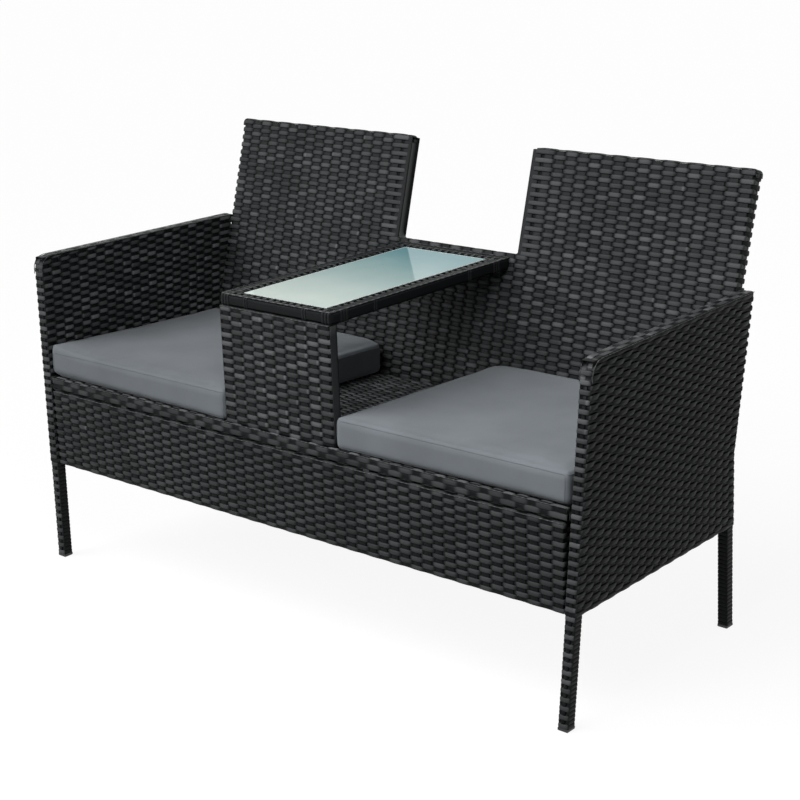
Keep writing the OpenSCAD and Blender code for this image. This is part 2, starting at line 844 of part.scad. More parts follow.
module table_bolts() {
    both_sides() translate([table_bolt_x, table_bolt_y, table_bolt_z]) rotate([-90, 0, 0])
        bolt(table_bolt_l);
}

// The back sets the cushion's depth, and the table's panel and the side panel its width
cushion_y = seat_y + cushion_setback;
cushion_d = back_y(seat_h) - cushion_back_gap - cushion_y;
cushion_room = min([
    for (y = [cushion_y, cushion_y + cushion_d]) for (z = [seat_z(y), seat_z(y) + cushion_t + crown])
        side_inner_x(y, z)
]) - table_w / 2;
cushion_w = cushion_room - cushion_gap - cushion_side_gap;
cushion_x = table_w / 2 + cushion_gap + cushion_w / 2;

// The cushion on its own base: x across, y back from its front edge, z up from the seat
side_steps = 9;
arc_steps = 4;

function cushion_corner(i) = [
    (i == 1 || i == 2 ? 1 : -1) * (cushion_w / 2 - cushion_round),
    i < 2 ? cushion_round : cushion_d - cushion_round
];
cushion_outline = [
    for (i = [0:3]) let (c = cushion_corner(i), d = cushion_corner((i + 1) % 4), a = 180 + 90 * i)
        for (p = concat(
            [for (k = [0:arc_steps]) let (b = a + 90 * k / arc_steps) c + cushion_round * [cos(b), sin(b)]],
            [for (k = [1:side_steps - 1]) let (
                t = k / side_steps,
                in = draw_in * 4 * t * (1 - t) * (i == 2 ? 0.25 : 1))
                c + (d - c) * t + (cushion_round - in) * [cos(a + 90), sin(a + 90)]])) p
];

// Rings from the base to the top: share of the outline's reach, height, and whether it is crowned
edge_rise = 4;
cushion_rings = [
    [0.965, 0, 0], [0.995, edge_rise, 0], [1.003, cushion_t * 0.3, 0], [1.003, cushion_t * 0.7, 0],
    [0.997, cushion_t - edge_rise, 0], [0.98, cushion_t, 0], [0.93, cushion_t, 1], [0.82, cushion_t, 1],
    [0.6, cushion_t, 1], [0.3, cushion_t, 1]
];
function bulge(p) = crown * (1 - pow(abs(2 * p[0] / cushion_w), 2.5))
    * (1 - pow(abs(2 * p[1] / cushion_d - 1), 2.5));
function cushion_point(p, ring) = let (
    c = [0, cushion_d / 2],
    q = c + (p - c) * ring[0],
    z = ring[1] + (ring[2] > 0 ? bulge(q) : 0))
    [q[0], q[1] + cushion_lean * z / cushion_t * max(0, 2 * q[1] / cushion_d - 1), z];

module cushion_form() {
    n = len(cushion_outline);
    m = len(cushion_rings);
    points = concat(
        [for (ring = cushion_rings) for (p = cushion_outline) cushion_point(p, ring)],
        [[0, cushion_d / 2, 0], [0, cushion_d / 2, cushion_t + crown]]);
    faces = [
        for (i = [0:m - 2]) for (j = [0:n - 1]) let (k = (j + 1) % n)
            for (f = [
                [i * n + j, (i + 1) * n + j, (i + 1) * n + k],
                [i * n + j, (i + 1) * n + k, i * n + k]
            ]) f,
        for (j = [0:n - 1]) [n * m, j, (j + 1) % n],
        for (j = [0:n - 1]) [n * m + 1, (m - 1) * n + (j + 1) % n, (m - 1) * n + j]
    ];
    polyhedron(points, faces);
}

module on_seat() {
    in_seat() translate([cushion_x, cushion_setback, fit]) children();
}

module foam_block() {
    translate([-cushion_w / 2 + cover_t, cover_t, edge_rise])
        cube([cushion_w - 2 * cover_t, cushion_d - 2 * cover_t, cushion_t - 2 * edge_rise]);
}

// The zip lies in the rear side, above the middle of its height, its face at zip_y
zip_z = cushion_t * 0.58;
zip_t = 3;
zip_y = cushion_d + cushion_lean * (zip_z + zip_w / 2) / cushion_t - 0.5;

module zip_block(y, t) {
    translate([-zip_l / 2, y, zip_z - zip_w / 2]) cube([zip_l, t, zip_w]);
}

module zip_tape() {
    zip_block(zip_y - zip_t, zip_t);
}

module right_cover() {
    on_seat() difference() {
        cushion_form();
        foam_block();
        zip_block(zip_y - zip_t, 2 * zip_t);
    }
}

// The slider rests at the zip's end by the table, its pull lying along the zip
slider_l = 9;
slider_w = 8;
slider_t = 2.4;
pull_l = 20;
pull_w = 5;
pull_t = 1.4;
pull_lap = 2;

module right_slider() {
    on_seat() translate([-zip_l / 2, zip_y + fit, zip_z]) {
        translate([0, 0, -slider_w / 2]) cube([slider_l, slider_t, slider_w]);
        translate([slider_l - pull_lap, slider_t - pull_t, -pull_w / 2]) cube([pull_l, pull_t, pull_w]);
    }
}

module seat_bolts() {
    both_sides() for (y = seat_bolt_ys) {
        x = seat_half_at(y) - weave_t - tube - fit;
        translate([x, y, rail_z(y)]) rotate([0, 90, 0])
            bolt(side_inner_x(y, rail_z(y)) + weave_t + nut_l - x);
    }
}

module back_bolts() {
    both_sides() for (z = back_bolt_zs) {
        y = back_bolt_y(z);
        x = back_half - weave_t - back_tube - fit;
        translate([x, y, z]) rotate([0, 90, 0]) bolt(side_inner_x(y, z) + weave_t + nut_l - x);
    }
}

// Blind nuts in the side frames, each with a flange just clear of the tube's leaning wall
flange_t = 0.8;
flange_gap = 0.4;
flange_r = nut_r + 1;
module blind_nuts() {
    low = -flange_t - flange_gap;
    both_sides() for (b = side_bolts) {
        x = side_inner_x(b[0], b[1]) + weave_t;
        translate([x, b[0], b[1]]) rotate([0, 90, 0]) difference() {
            union() {
                translate([0, 0, low]) cylinder(r = nut_r, h = nut_l - low);
                translate([0, 0, low]) cylinder(r = flange_r, h = flange_t);
            }
            translate([0, 0, low - eps]) cylinder(r = bolt_r + seat_fit, h = nut_l - low + 2 * eps);
        }
    }
}

module spacers() {
    both_sides() {
        for (y = seat_bolt_ys) spacer(y, rail_z(y), seat_half_at(y));
        for (z = back_bolt_zs) spacer(back_bolt_y(z), z, back_half);
    }
}

// A spacer from x to the side panel, short enough to clear the panel's lean
module spacer(y, z, x) {
    x0 = x + fit;
    x1 = side_inner_x(y, z) - 2 * fit;
    translate([x0, y, z]) rotate([0, 90, 0]) difference() {
        cylinder(r = spacer_r, h = x1 - x0);
        translate([0, 0, -eps]) cylinder(r = bolt_r + bolt_fit, h = x1 - x0 + 2 * eps);
    }
}

color(steel) mirror([1, 0, 0]) front_leg();  // left_front_leg
color(steel) front_leg();  // right_front_leg
color(steel) mirror([1, 0, 0]) rear_leg();  // left_rear_leg
color(steel) rear_leg();  // right_rear_leg
color(steel) mirror([1, 0, 0]) arm_tube();  // left_arm_tube
color(steel) arm_tube();  // right_arm_tube
color(steel) mirror([1, 0, 0]) lower_rail();  // left_lower_rail
color(steel) lower_rail();  // right_lower_rail
color(steel) mirror([1, 0, 0]) side_rail();  // left_side_rail
color(steel) side_rail();  // right_side_rail
color(wicker) mirror([1, 0, 0]) side_skin();  // left_side_skin
color(wicker) side_skin();  // right_side_skin
color(wicker) mirror([1, 0, 0]) leg_wraps();  // left_leg_wraps
color(wicker) leg_wraps();  // right_leg_wraps
color(plastic) foot_caps();
color(steel) seat_front_tube();
color(steel) seat_rear_tube();
color(steel) seat_side_tubes();
color(steel) seat_cross_bars();
color(wicker) seat_skin();
color(steel) apron_frame();
color(steel) apron_links();
color(wicker) apron_skin();
color(steel) back_frame();
color(wicker) back_skin();
color(steel) table_panel_frame();
color(wicker) table_panel_skin();
color(steel) table_frame();
color(wicker) table_rim();
color(steel) glass_tabs();
color("white", 0.6) glass_pads();
color("#b9d4cf", 0.5) table_glass();
color(fabric) mirror([1, 0, 0]) right_cover();  // left_cushion_cover
color(fabric) right_cover();  // right_cushion_cover
color(foam) mirror([1, 0, 0]) on_seat() foam_block();  // left_cushion_foam
color(foam) on_seat() foam_block();  // right_cushion_foam
color(plastic) mirror([1, 0, 0]) on_seat() zip_tape();  // left_zip
color(plastic) on_seat() zip_tape();  // right_zip
color(zinc) mirror([1, 0, 0]) right_slider();  // left_zip_slider
color(zinc) right_slider();  // right_zip_slider
color(zinc) seat_bolts();
color(zinc) back_bolts();
color(zinc) panel_bolts();
color(zinc) table_bolts();
color(zinc) blind_nuts();
color(plastic) spacers();
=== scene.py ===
import json
import math
from collections import namedtuple

import bmesh
import bpy
import numpy as np
from mathutils import Matrix, Vector
from mathutils.bvhtree import BVHTree


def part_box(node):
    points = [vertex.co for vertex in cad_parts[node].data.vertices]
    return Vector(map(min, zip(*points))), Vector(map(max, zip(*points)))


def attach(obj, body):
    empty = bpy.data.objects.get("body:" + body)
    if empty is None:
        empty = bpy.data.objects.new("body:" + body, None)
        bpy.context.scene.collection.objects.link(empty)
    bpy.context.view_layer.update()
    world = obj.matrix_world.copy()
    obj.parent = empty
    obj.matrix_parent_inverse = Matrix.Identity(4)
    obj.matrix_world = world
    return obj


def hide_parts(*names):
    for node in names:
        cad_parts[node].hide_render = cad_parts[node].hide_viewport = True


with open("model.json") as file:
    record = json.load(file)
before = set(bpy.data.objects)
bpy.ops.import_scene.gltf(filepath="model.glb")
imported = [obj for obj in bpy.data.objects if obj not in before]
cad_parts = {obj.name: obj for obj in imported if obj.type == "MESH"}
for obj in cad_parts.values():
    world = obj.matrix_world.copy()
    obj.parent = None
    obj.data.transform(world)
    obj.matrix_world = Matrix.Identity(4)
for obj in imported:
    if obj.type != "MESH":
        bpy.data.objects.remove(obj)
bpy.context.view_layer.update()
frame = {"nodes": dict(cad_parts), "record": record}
bpy.ops.object.select_all(action="DESELECT")

MM = 0.001
UP = (0, 0, 1)
rng = np.random.default_rng(7)

# ---------------------------------------------------------------- sizes, as in the part
SIDE_T = 22.4 * MM
SIDE_FOOT_X = 0.645
SIDE_FLARE = 0.027
SIDE_TWIST = 0.017
ARM_H = 0.624
ARM_ROUND = 0.025
ARM_FRONT_Y = -0.276
ARM_REAR_Y = 0.218
CORNER_Z = ARM_H - ARM_ROUND
SKIRT_H = 0.202
KNEE_H = 0.340
KNEE_Y = 0.191
UPPER_BEND_H = 0.48
FOOT_FRONT_Y = -0.308
FOOT_REAR_Y = 0.214
CAP_H = 0.006
SEAT_H = 0.381
SEAT_Y = -0.289
SEAT_SLOPE = math.radians(1.9)
BACK_T = 24.4 * MM
BACK_LOW = 0.300
BACK_HIGH = 0.826
BACK_REAR_Y = 0.308
BACK_ROUND = 0.006
RECLINE = math.radians(15.7)
NOTCH_HALF = 0.153
NOTCH_H = 0.631

# how far the woven rows stand fuller than the frame
BACK_FULL = 2 * MM
SIDE_FULL = 2 * MM
ARM_REAR_FULL = 18 * MM


def side_x(y, z):
    """Outer face of the right side panel, which flares upwards, a little less at the rear."""
    rear = (y - ARM_FRONT_Y) / (ARM_REAR_Y - ARM_FRONT_Y)
    return SIDE_FOOT_X + z / ARM_H * (SIDE_FLARE - SIDE_TWIST * rear)


def leg_front(z):
    """Front edge of the front leg."""
    return FOOT_FRONT_Y + (ARM_FRONT_Y - FOOT_FRONT_Y) * z / ARM_H


def leg_back(z):
    """Rear edge of the rear leg, which bends at the knee."""
    if z < KNEE_H:
        return FOOT_REAR_Y + (KNEE_Y - FOOT_REAR_Y) * z / KNEE_H
    return KNEE_Y + (ARM_REAR_Y - KNEE_Y) * (z - KNEE_H) / (ARM_H - KNEE_H)


def arm_back(z):
    """Rear edge of the side panel, which swells back beside the backrest."""
    return leg_back(z) + ARM_REAR_FULL * max(0.0, (z - KNEE_H) / (ARM_H - KNEE_H))


def arm_front(z):
    """Front edge of the side panel, rounded into the arm."""
    if z <= CORNER_Z:
        return leg_front(z)
    rise = min(z - CORNER_Z, ARM_ROUND)
    return leg_front(CORNER_Z) + ARM_ROUND - math.sqrt(ARM_ROUND**2 - rise**2)


# ---------------------------------------------------------------- strands
STRAND_T = 1.15 * MM
CREST_SHARE = 0.60
DIP_SHARE = 0.54
WAVE = 1.45 * MM
EDGE_WAVE = 0.5 * MM
FLAT_WAVE = 0.2 * MM
WAVE_STEEP = 1.9
MID_DEPTH = 0.9 * MM
WARP_HALF = 3.8 * MM
WARP_T = 0.8 * MM
WARP_SHARE = 0.36
# painted glints near the end of some crests: how much lighter, where along the crest, and how long
GLINT_TIP_TONE = 0.8
GLINT_TIP_PLACE = 0.4
GLINT_TIP_HALF = 0.1
GLINT_HALF = 0.85 * MM
GLINT_T = 1.0 * MM
GLINT_STEP = 11 * MM
EDGE_TILT = (0, 0.7, 0.7)
EDGE_PLACES = (0.27, 0.73)
EDGE_BIAS = 0.45
SPACING = 4.5 * MM
FINE_SPACING = 3 * MM
CORNER_R = 2.6 * MM
SECTION = ((-1.0, -0.45), (-0.66, 0.3), (0.0, 0.5), (0.66, 0.3), (1.0, -0.45))
TRIANGLE_CAP = 180000

Path = namedtuple("Path", "points normals sides arc length", defaults=(0.0,))
Strand = namedtuple("Strand", "verts quads data caps")


def unit(v):
    return v / np.linalg.norm(v, axis=-1, keepdims=True)


def ring_path(corners, ups, spacing, radius, closed=True):
    """Points, normals, up directions and arc lengths along a path with rounded corners."""
    corners = np.asarray(corners, float)
    ups = np.broadcast_to(np.asarray(ups, float), corners.shape)
    count = len(corners) if closed else len(corners) - 1
    ends, up_ends = np.roll(corners, -1, 0), np.roll(ups, -1, 0)
    runs = (ends - corners)[:count]
    lengths = np.linalg.norm(runs, axis=1)
    dirs = runs / lengths[:, None]
    points, normals, sides, arcs = [], [], [], []
    start = 0.0
    for i in range(count):
        first = 0.0 if (not closed and i == 0) else radius
        last = 0.0 if (not closed and i == count - 1) else radius
        steps = max(1, round((lengths[i] - first - last) / spacing))
        s = np.linspace(first, lengths[i] - last, steps + 1)
        side = ups[i] + (s / lengths[i])[:, None] * (up_ends[i] - ups[i])
        points.append(corners[i] + s[:, None] * dirs[i])
        normals.append(np.cross(dirs[i], side))
        sides.append(side)
        arcs.append(start + s)
        if closed or i < count - 1:
            j = (i + 1) % count
            corner = ends[i]
            before, after = corner - radius * dirs[i], corner + radius * dirs[j]
            n0, n1 = np.cross(dirs[i], up_ends[i]), np.cross(dirs[j], up_ends[i])
            for t in (1 / 3, 2 / 3):
                points.append([(1 - t) ** 2 * before + 2 * t * (1 - t) * corner + t * t * after])
                normals.append([(1 - t) * n0 + t * n1])
                sides.append([up_ends[i]])
                arcs.append([start + lengths[i] + (2 * t - 1) * radius])
        start += lengths[i]
    return Path(np.vstack(points), unit(np.vstack(normals)), unit(np.vstack(sides)),
                np.concatenate(arcs), start)


def placed(name, data):
    """A new object in the scene."""
    obj = bpy.data.objects.new(name, data)
    bpy.context.scene.collection.objects.link(obj)
    return obj


class Weave:
    """Collects strands of one panel and turns them into pieces below the triangle cap."""

    def __init__(self, name, body, *nodes):
        self.name, self.body, self.nodes = name, body, nodes
        self.strands = []

    def strand(self, path, lift, half, rise, tone, thick=STRAND_T, closed=False, mirror=False):
        """Sweeps the strand's section along a path, with both ends shut unless the path is a ring."""
        points, normals, sides, arc = path[:4]
        n, k = len(points), len(SECTION)
        lift, half, rise, tone = (np.broadcast_to(value, n) for value in (lift, half, rise, tone))
        across, height = np.array(SECTION).T
        verts = (points[:, None, :]
                 + normals[:, None, :] * (lift[:, None] + height * thick)[:, :, None]
                 + sides[:, None, :] * (half[:, None] * across)[:, :, None]).reshape(-1, 3)
        i = np.arange(n if closed else n - 1)[:, None] * k
        following = (i + k) % (n * k)
        a = np.arange(k)[None, :]
        b = (a + 1) % k
        quads = np.stack([i + a, following + a, following + b, i + b], -1).reshape(-1, 4)
        caps = [] if closed else [np.arange(k), np.arange(n * k - 1, n * k - k - 1, -1)]
        if mirror:
            verts = verts * [-1, 1, 1]
            quads = quads[:, ::-1]
            caps = [cap[::-1] for cap in caps]
        # rise: 0 takes the full painted dip shade, 1 none; edge: how far across the strand a point lies, for
        # its painted edge shade
        data = np.column_stack([np.repeat(arc, k), (half[:, None] * across).ravel(), np.repeat(rise, k),
                                np.repeat(tone, k), np.tile(np.abs(across), n)])
        self.strands.append(Strand(verts, quads, data, caps))

    def build(self, made):
        """Pieces of whole strands, each below the triangle cap."""
        groups, size = [[]], 0
        for strand in self.strands:
            triangles = 2 * len(strand.quads) + len(strand.caps) * (len(SECTION) - 2)
            if size + triangles > TRIANGLE_CAP and groups[-1]:
                groups.append([])
                size = 0
            groups[-1].append(strand)
            size += triangles
        objects = []
        for number, group in enumerate(groups, 1):
            name = self.name if len(groups) == 1 else f"{self.name}_{number}"
            objects.append(self.build_group(name, group, made))
        for obj in objects:
            if self.nodes:
                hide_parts(*self.nodes)

    def build_group(self, name, group, made):
        """One mesh of several strands, with their values for the material."""
        verts = np.vstack([strand.verts for strand in group])
        data = np.vstack([strand.data for strand in group])
        loops, totals, offset = [], [], 0
        for strand in group:
            loops.append((strand.quads + offset).reshape(-1))
            totals.append(np.full(len(strand.quads), 4))
            for cap in strand.caps:
                loops.append(cap + offset)
                totals.append(np.array([len(cap)]))
            offset += len(strand.verts)
        loops, totals = np.concatenate(loops), np.concatenate(totals)
        mesh = bpy.data.meshes.new(name)
        mesh.vertices.add(len(verts))
        mesh.vertices.foreach_set("co", verts.astype(np.float32).ravel())
        mesh.loops.add(len(loops))
        mesh.loops.foreach_set("vertex_index", loops.astype(np.int32))
        mesh.polygons.add(len(totals))
        mesh.polygons.foreach_set("loop_start", (np.cumsum(totals) - totals).astype(np.int32))
        mesh.polygons.foreach_set("loop_total", totals.astype(np.int32))
        mesh.polygons.foreach_set("use_smooth", np.ones(len(totals), bool))
        mesh.update(calc_edges=True)
        uv = mesh.uv_layers.new(name="strand")
        uv.data.foreach_set("uv", data[loops, :2].astype(np.float32).ravel())
        for attribute_name, column in (("rise", 2), ("tone", 3), ("edge", 4)):
            values = mesh.attributes.new(attribute_name, "FLOAT", "POINT")
            values.data.foreach_set("value", data[:, column].astype(np.float32))
        mesh.materials.append(made)
        obj = placed(name, mesh)
        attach(obj, self.body)
        return obj


def wave_profile(phase, bias=0.0):
    """Lift from -1 under a warp to 1 over it, for a phase counted in warps."""
    return np.tanh(WAVE_STEEP * (np.cos(np.pi * phase) + bias)) / math.tanh(WAVE_STEEP)


def crest_tones(phase, glint_share):
    """A slightly different tone for each crest, at random; a share of them with a painted glint near one end.
    """
    index = np.round(phase).astype(int)
    place = phase - index
    index -= index.min()
    bright = rng.uniform(0, 1, index.max() + 1)[index] < glint_share
    shade = rng.uniform(0, 1, index.max() + 1)[index]
    return shade + GLINT_TIP_TONE * bright * (np.abs(place - GLINT_TIP_PLACE) < GLINT_TIP_HALF)


def weft(weave, path, phase, row, closed=True, mirror=False, wave=WAVE, mid=-MID_DEPTH, bias=0.0,
         painted_lighting=0.0, glint_share=0.0, straight=False):
    """One strand that passes over and under the warps; phase is counted in warps along it; painted light, or
    painted shade where negative, is added to its tone.
    """
    crest, dip = CREST_SHARE * row, DIP_SHARE * row
    if straight:
        crest, wave, mid = dip, 0.45 * wave, mid + 0.25 * wave
    c = wave_profile(phase, bias)
    # swelling sets the strand's width, and as rise it keeps the painted dip shade off the crests
    swelling = np.clip((c + 1) / 2, 0, 1)
    swelling = swelling * swelling * (3 - 2 * swelling)
    # painted highlight: each crest lighter at its middle than at its ends
    painted_crest_highlight = 0.72 + 0.28 * np.clip(np.cos(np.pi * phase), 0, 1)
    weave.strand(path, mid + wave * c, dip + (crest - dip) * swelling, swelling * painted_crest_highlight,
                 crest_tones(phase, glint_share) + painted_lighting, closed=closed, mirror=mirror)


def warp(weave, path, closed=True, mirror=False, half=WARP_HALF, mid=-MID_DEPTH, rise=0.1):
    """One flat strand that the rows pass over and under; a low rise paints it near black as the shade between
    the rows.
    """
    weave.strand(path, mid, half, rise, rng.uniform(0, 1), thick=WARP_T, closed=closed, mirror=mirror)


def edge_glints(weave, line, up, mirror=False, step=GLINT_STEP):
    """A thin strand along an edge, with painted highlights in short dashes where the edge would catch the
    light.
    """
    path = ring_path(line, up, FINE_SPACING, 1.5 * MM, False)
    beat = np.cos(2 * np.pi * path.arc / step + 1.5 * np.sin(path.arc / (3.1 * step)))
    tone = 0.6 + np.clip(1.2 * beat + 0.5, 0, 1) * rng.uniform(0.5, 1.0, len(path.arc))
    weave.strand(path, 0.0, GLINT_HALF, 1.0, tone, thick=GLINT_T, mirror=mirror)


def edge_row(weave, a, b, side, knots, r, row, mirror=False, mid=-0.5 * MM, wave=EDGE_WAVE):
    """A row that lies lengthwise along an edge between two points."""
    path = ring_path([a, b], side, SPACING, 0.0, closed=False)
    phase = np.interp(path.arc, knots, np.arange(len(knots))) + r
    weft(weave, path, phase, row, closed=False, mirror=mirror, wave=wave, mid=mid, bias=EDGE_BIAS)


def ring_phase(path, knots):
    """Phase along a closed ring whose warps are at the arc lengths in knots."""
    knots = np.asarray(knots)
    known = np.concatenate([knots[-1:] - path.length, knots, knots[:1] + path.length])
    return np.interp(path.arc, known, np.arange(-1, len(knots) + 1))


def even_knots(length, pitch, inset):
    """Places of the warps along a face, the first and the last one inset from its ends."""
    count = max(2, round((length - 2 * inset) / pitch) + 1)
    return np.linspace(inset, length - inset, count)


def even_rows(low, high, pitch):
    """Middles of the rows that fill a height."""
    count = max(1, round((high - low) / pitch))
    step = (high - low) / count
    return low + step * (np.arange(count) + 0.5)


def is_outer(r, rows):
    """Whether a row is the first or the last one, which lies flatter."""
    return r in (0, len(rows) - 1)


def rectangle(x0, y0, x1, y1):
    return ((x0, y0), (x1, y0), (x1, y1), (x0, y1))


def box_panel(weave, box, pitch, row, inset, warp_rise=0.1, glint_share=0.05, painted_lighting=0.0):
    """Rings round an upright flat panel, its warps, and the rows along its top and bottom."""
    (x0, y0, z0), (x1, y1, z1) = (tuple(p) for p in box)
    wide, deep = x1 - x0, y1 - y0
    front = even_knots(wide, pitch, inset)
    knots = np.concatenate([front, wide + deep + front])
    rows = even_rows(z0 - 0.5 * MM, z1 - 1.0 * MM, row)
    for r, z in enumerate(rows):
        path = ring_path([(x, y, z) for x, y in rectangle(x0, y0, x1, y1)], UP, SPACING, CORNER_R)
        # painted light and glints, as given for the panel
        weft(weave, path, ring_phase(path, knots) + r, row, painted_lighting=painted_lighting, glint_share=glint_share,
             straight=is_outer(r, rows))
    for x in x0 + front:
        # warp_rise sets how much painted shade the warps get
        path = ring_path([(x, y0, z0), (x, y0, z1), (x, y1, z1), (x, y1, z0)], (-1, 0, 0), 0.05, CORNER_R)
        warp(weave, path, half=WARP_SHARE * pitch, rise=warp_rise)
    for z, outward in ((z1, 1), (z0, -1)):
        for j, y in enumerate(even_rows(y0 + 1.5 * MM, y1 - 1.5 * MM, deep / 2)):
            edge_row(weave, (x0 + MM, y, z), (x1 - MM, y, z), (0, outward, 0), front - MM, j,
                     deep / 2 - MM, mid=-0.6 * MM, wave=FLAT_WAVE)
    edge_glints(weave, [(x, y0 - 0.2 * MM, z1 - 0.4 * MM) for x in (x0 + MM, x1 - MM)], EDGE_TILT)


# ---------------------------------------------------------------- back
BACK_LEN = (BACK_HIGH - BACK_LOW) / math.cos(RECLINE)
NOTCH_V = (NOTCH_H - BACK_LOW) / math.cos(RECLINE)
BACK_UP = (0, math.sin(RECLINE), math.cos(RECLINE))
BACK_IN = (0, math.cos(RECLINE), -math.sin(RECLINE))
BACK_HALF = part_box("back_skin")[1].x
BACK_PITCH = 26.6 * MM
BACK_ROW = 8.2 * MM
BACK_INSET = 11.5 * MM
BACK_TOP_LIFT = 2.2 * MM
BACK_TOP_TURN = 6 * MM
# painted light on the backrests, and their share of painted glints
BACK_PAINTED_LIGHT = {"painted_lighting": 0.26, "glint_share": 0.04}


def back_point(x, n, v):
    """A point on the back: n behind its front face, v up along it."""
    c, s = math.cos(RECLINE), math.sin(RECLINE)
    y = BACK_REAR_Y - BACK_T * c + n * c - (BACK_LEN - v) * s
    z = BACK_HIGH - n * s - (BACK_LEN - v) * c
    return (x, y, z)


def back_ring(x0, x1, v):
    """A row round the back between two sides."""
    ring = [back_point(x, n, v) for x, n in ((x0, 0), (x1, 0), (x1, BACK_T), (x0, BACK_T))]
    return ring_path(ring, BACK_UP, SPACING, CORNER_R)


def round_inset(v):
    """How far a backrest's rounded top corner is inside its side at v."""
    over = max(0.0, v - (BACK_LEN - BACK_ROUND))
    return BACK_ROUND - math.sqrt(max(0.0, BACK_ROUND**2 - over**2))


def top_outline(n):
    """Along a backrest's top from its inner side to its outer side, at depth n."""
    r = BACK_ROUND
    inner, outer = NOTCH_HALF + 2 * BACK_FULL, BACK_HALF + BACK_FULL
    points = [back_point(inner, n, BACK_LEN - r - BACK_TOP_TURN)]
    for x, out, turn in ((inner + r, -r, (0, 30, 60, 90)), (outer - r, r, (90, 60, 30, 0))):
        for a in map(math.radians, turn):
            points.append(back_point(x + out * math.cos(a), n, BACK_LEN - r + r * math.sin(a)))
    points.append(back_point(outer, n, BACK_LEN - r - BACK_TOP_TURN))
    return points


def back_rows(weave, columns, right):
    """Rings round the low part of the back, and above it round each backrest."""
    rows = even_rows(0.5 * MM, BACK_LEN - 0.5 * MM, BACK_ROW)
    low = int(np.sum(rows < NOTCH_V - 3 * MM))
    for r, v in enumerate(rows[:low]):
        wide = BACK_HALF + BACK_FULL * (0.8 + 1.2 * v / NOTCH_V)
        path = back_ring(-wide, wide, v)
        knots = np.concatenate([columns + wide, 2 * wide + BACK_T + columns + wide])
        weft(weave, path, ring_phase(path, knots) + r, BACK_ROW, **BACK_PAINTED_LIGHT)
    for mirror in (True, False):
        for r, v in enumerate(rows[low:], low):
            inset = round_inset(v)
            x0, x1 = NOTCH_HALF + 2 * BACK_FULL + inset, BACK_HALF + BACK_FULL - inset
            path = back_ring(x0, x1, v)
            near = right - x0
            knots = np.concatenate([near, 2 * (x1 - x0) + BACK_T - near[::-1]])
            phase = ring_phase(path, knots) + r + (len(columns) - len(right))
            weft(weave, path, phase, BACK_ROW, mirror=mirror, **BACK_PAINTED_LIGHT)


def back_edges(weave, columns, right):
    """Rows along the backrests' tops, the bottom edge and the notch's floor."""
    for mirror in (True, False):
        for j, share in enumerate(EDGE_PLACES):
            path = ring_path(top_outline(share * BACK_T), BACK_IN, SPACING, 3 * MM, False)
            phase = (path.points[:, 0] - right[0]) / BACK_PITCH + j
            # painted light and glints on the backrests' top rows
            weft(weave, path, phase, BACK_T / 2 - MM, closed=False, mirror=mirror, wave=EDGE_WAVE,
                 mid=BACK_TOP_LIFT, bias=EDGE_BIAS, painted_lighting=0.3, glint_share=0.4)
        line = [back_point(x, -0.3 * MM, BACK_LEN + 0.8 * MM)
                for x in (NOTCH_HALF + BACK_ROUND, BACK_HALF - BACK_ROUND)]
        edge_glints(weave, line, EDGE_TILT, mirror, step=BACK_PITCH)
    for v, span, flip in ((0, BACK_HALF, -1), (NOTCH_V, NOTCH_HALF, 1)):
        knots = columns[np.abs(columns) < span] + span - MM
        for j, share in enumerate(EDGE_PLACES):
            a, b = (back_point(x, share * BACK_T, v) for x in (MM - span, span - MM))
            edge_row(weave, a, b, flip * np.array(BACK_IN), knots, j, BACK_T / 2 - MM)


def build_back():
    """The back panel of weave with its two backrests and the notch between them."""
    weave = Weave("back_weave", "bench", "back_skin")
    columns = even_knots(2 * BACK_HALF, BACK_PITCH, BACK_INSET) - BACK_HALF
    right = columns[columns > NOTCH_HALF + 0.5 * BACK_PITCH]
    back_rows(weave, columns, right)
    for x in columns:
        top = BACK_LEN if abs(x) > NOTCH_HALF else NOTCH_V
        ring = [back_point(x, n, v) for n, v in ((0, 0), (0, top), (BACK_T, top), (BACK_T, 0))]
        # less painted shade on the back's warps
        warp(weave, ring_path(ring, (-1, 0, 0), 0.06, CORNER_R), half=0.40 * BACK_PITCH, rise=0.46)
    back_edges(weave, columns, right)
    weave.build(STRAND)


# ---------------------------------------------------------------- sides and legs
SIDE_PITCH = 22.8 * MM
SIDE_ROW = 7.75 * MM
SIDE_INSET = 10.5 * MM
SIDE_BENDS = (SKIRT_H, KNEE_H, UPPER_BEND_H, ARM_H)
SKIRT_ROW_INSET = 20 * MM
FRONT_DEPTH = 1.2 * MM
# painted light on the front and inner faces and painted shade on the outer face, after how light falls on
# them
FRONT_PAINTED_LIGHT = 0.35
OUTER_PAINTED_SHADE = 0.5
INNER_PAINTED_LIGHT = 0.45
ARM_ROW_TURN = 10 * MM
ARM_ROW_REAR = 14 * MM
REAR_STRIP_HALF = 7.5 * MM
REAR_STRIP_GAP = 8 * MM
LEG_IN = 1.1 * MM
LEG_W = 20.2 * MM
LEG_STRIP = 11 * MM


def side_ring(z):
    """A row of a side panel; its outer face stands a little fuller than the frame towards the top."""
    y0, y1 = arm_front(z), arm_back(z)
    full = SIDE_FULL * z / ARM_H
    x0, x1 = side_x(y0, z), side_x(y1, z)
    return np.array([(x0 + full, y0, z), (x1 + full, y1, z), (x1 - SIDE_T, y1, z), (x0 - SIDE_T, y0, z)])


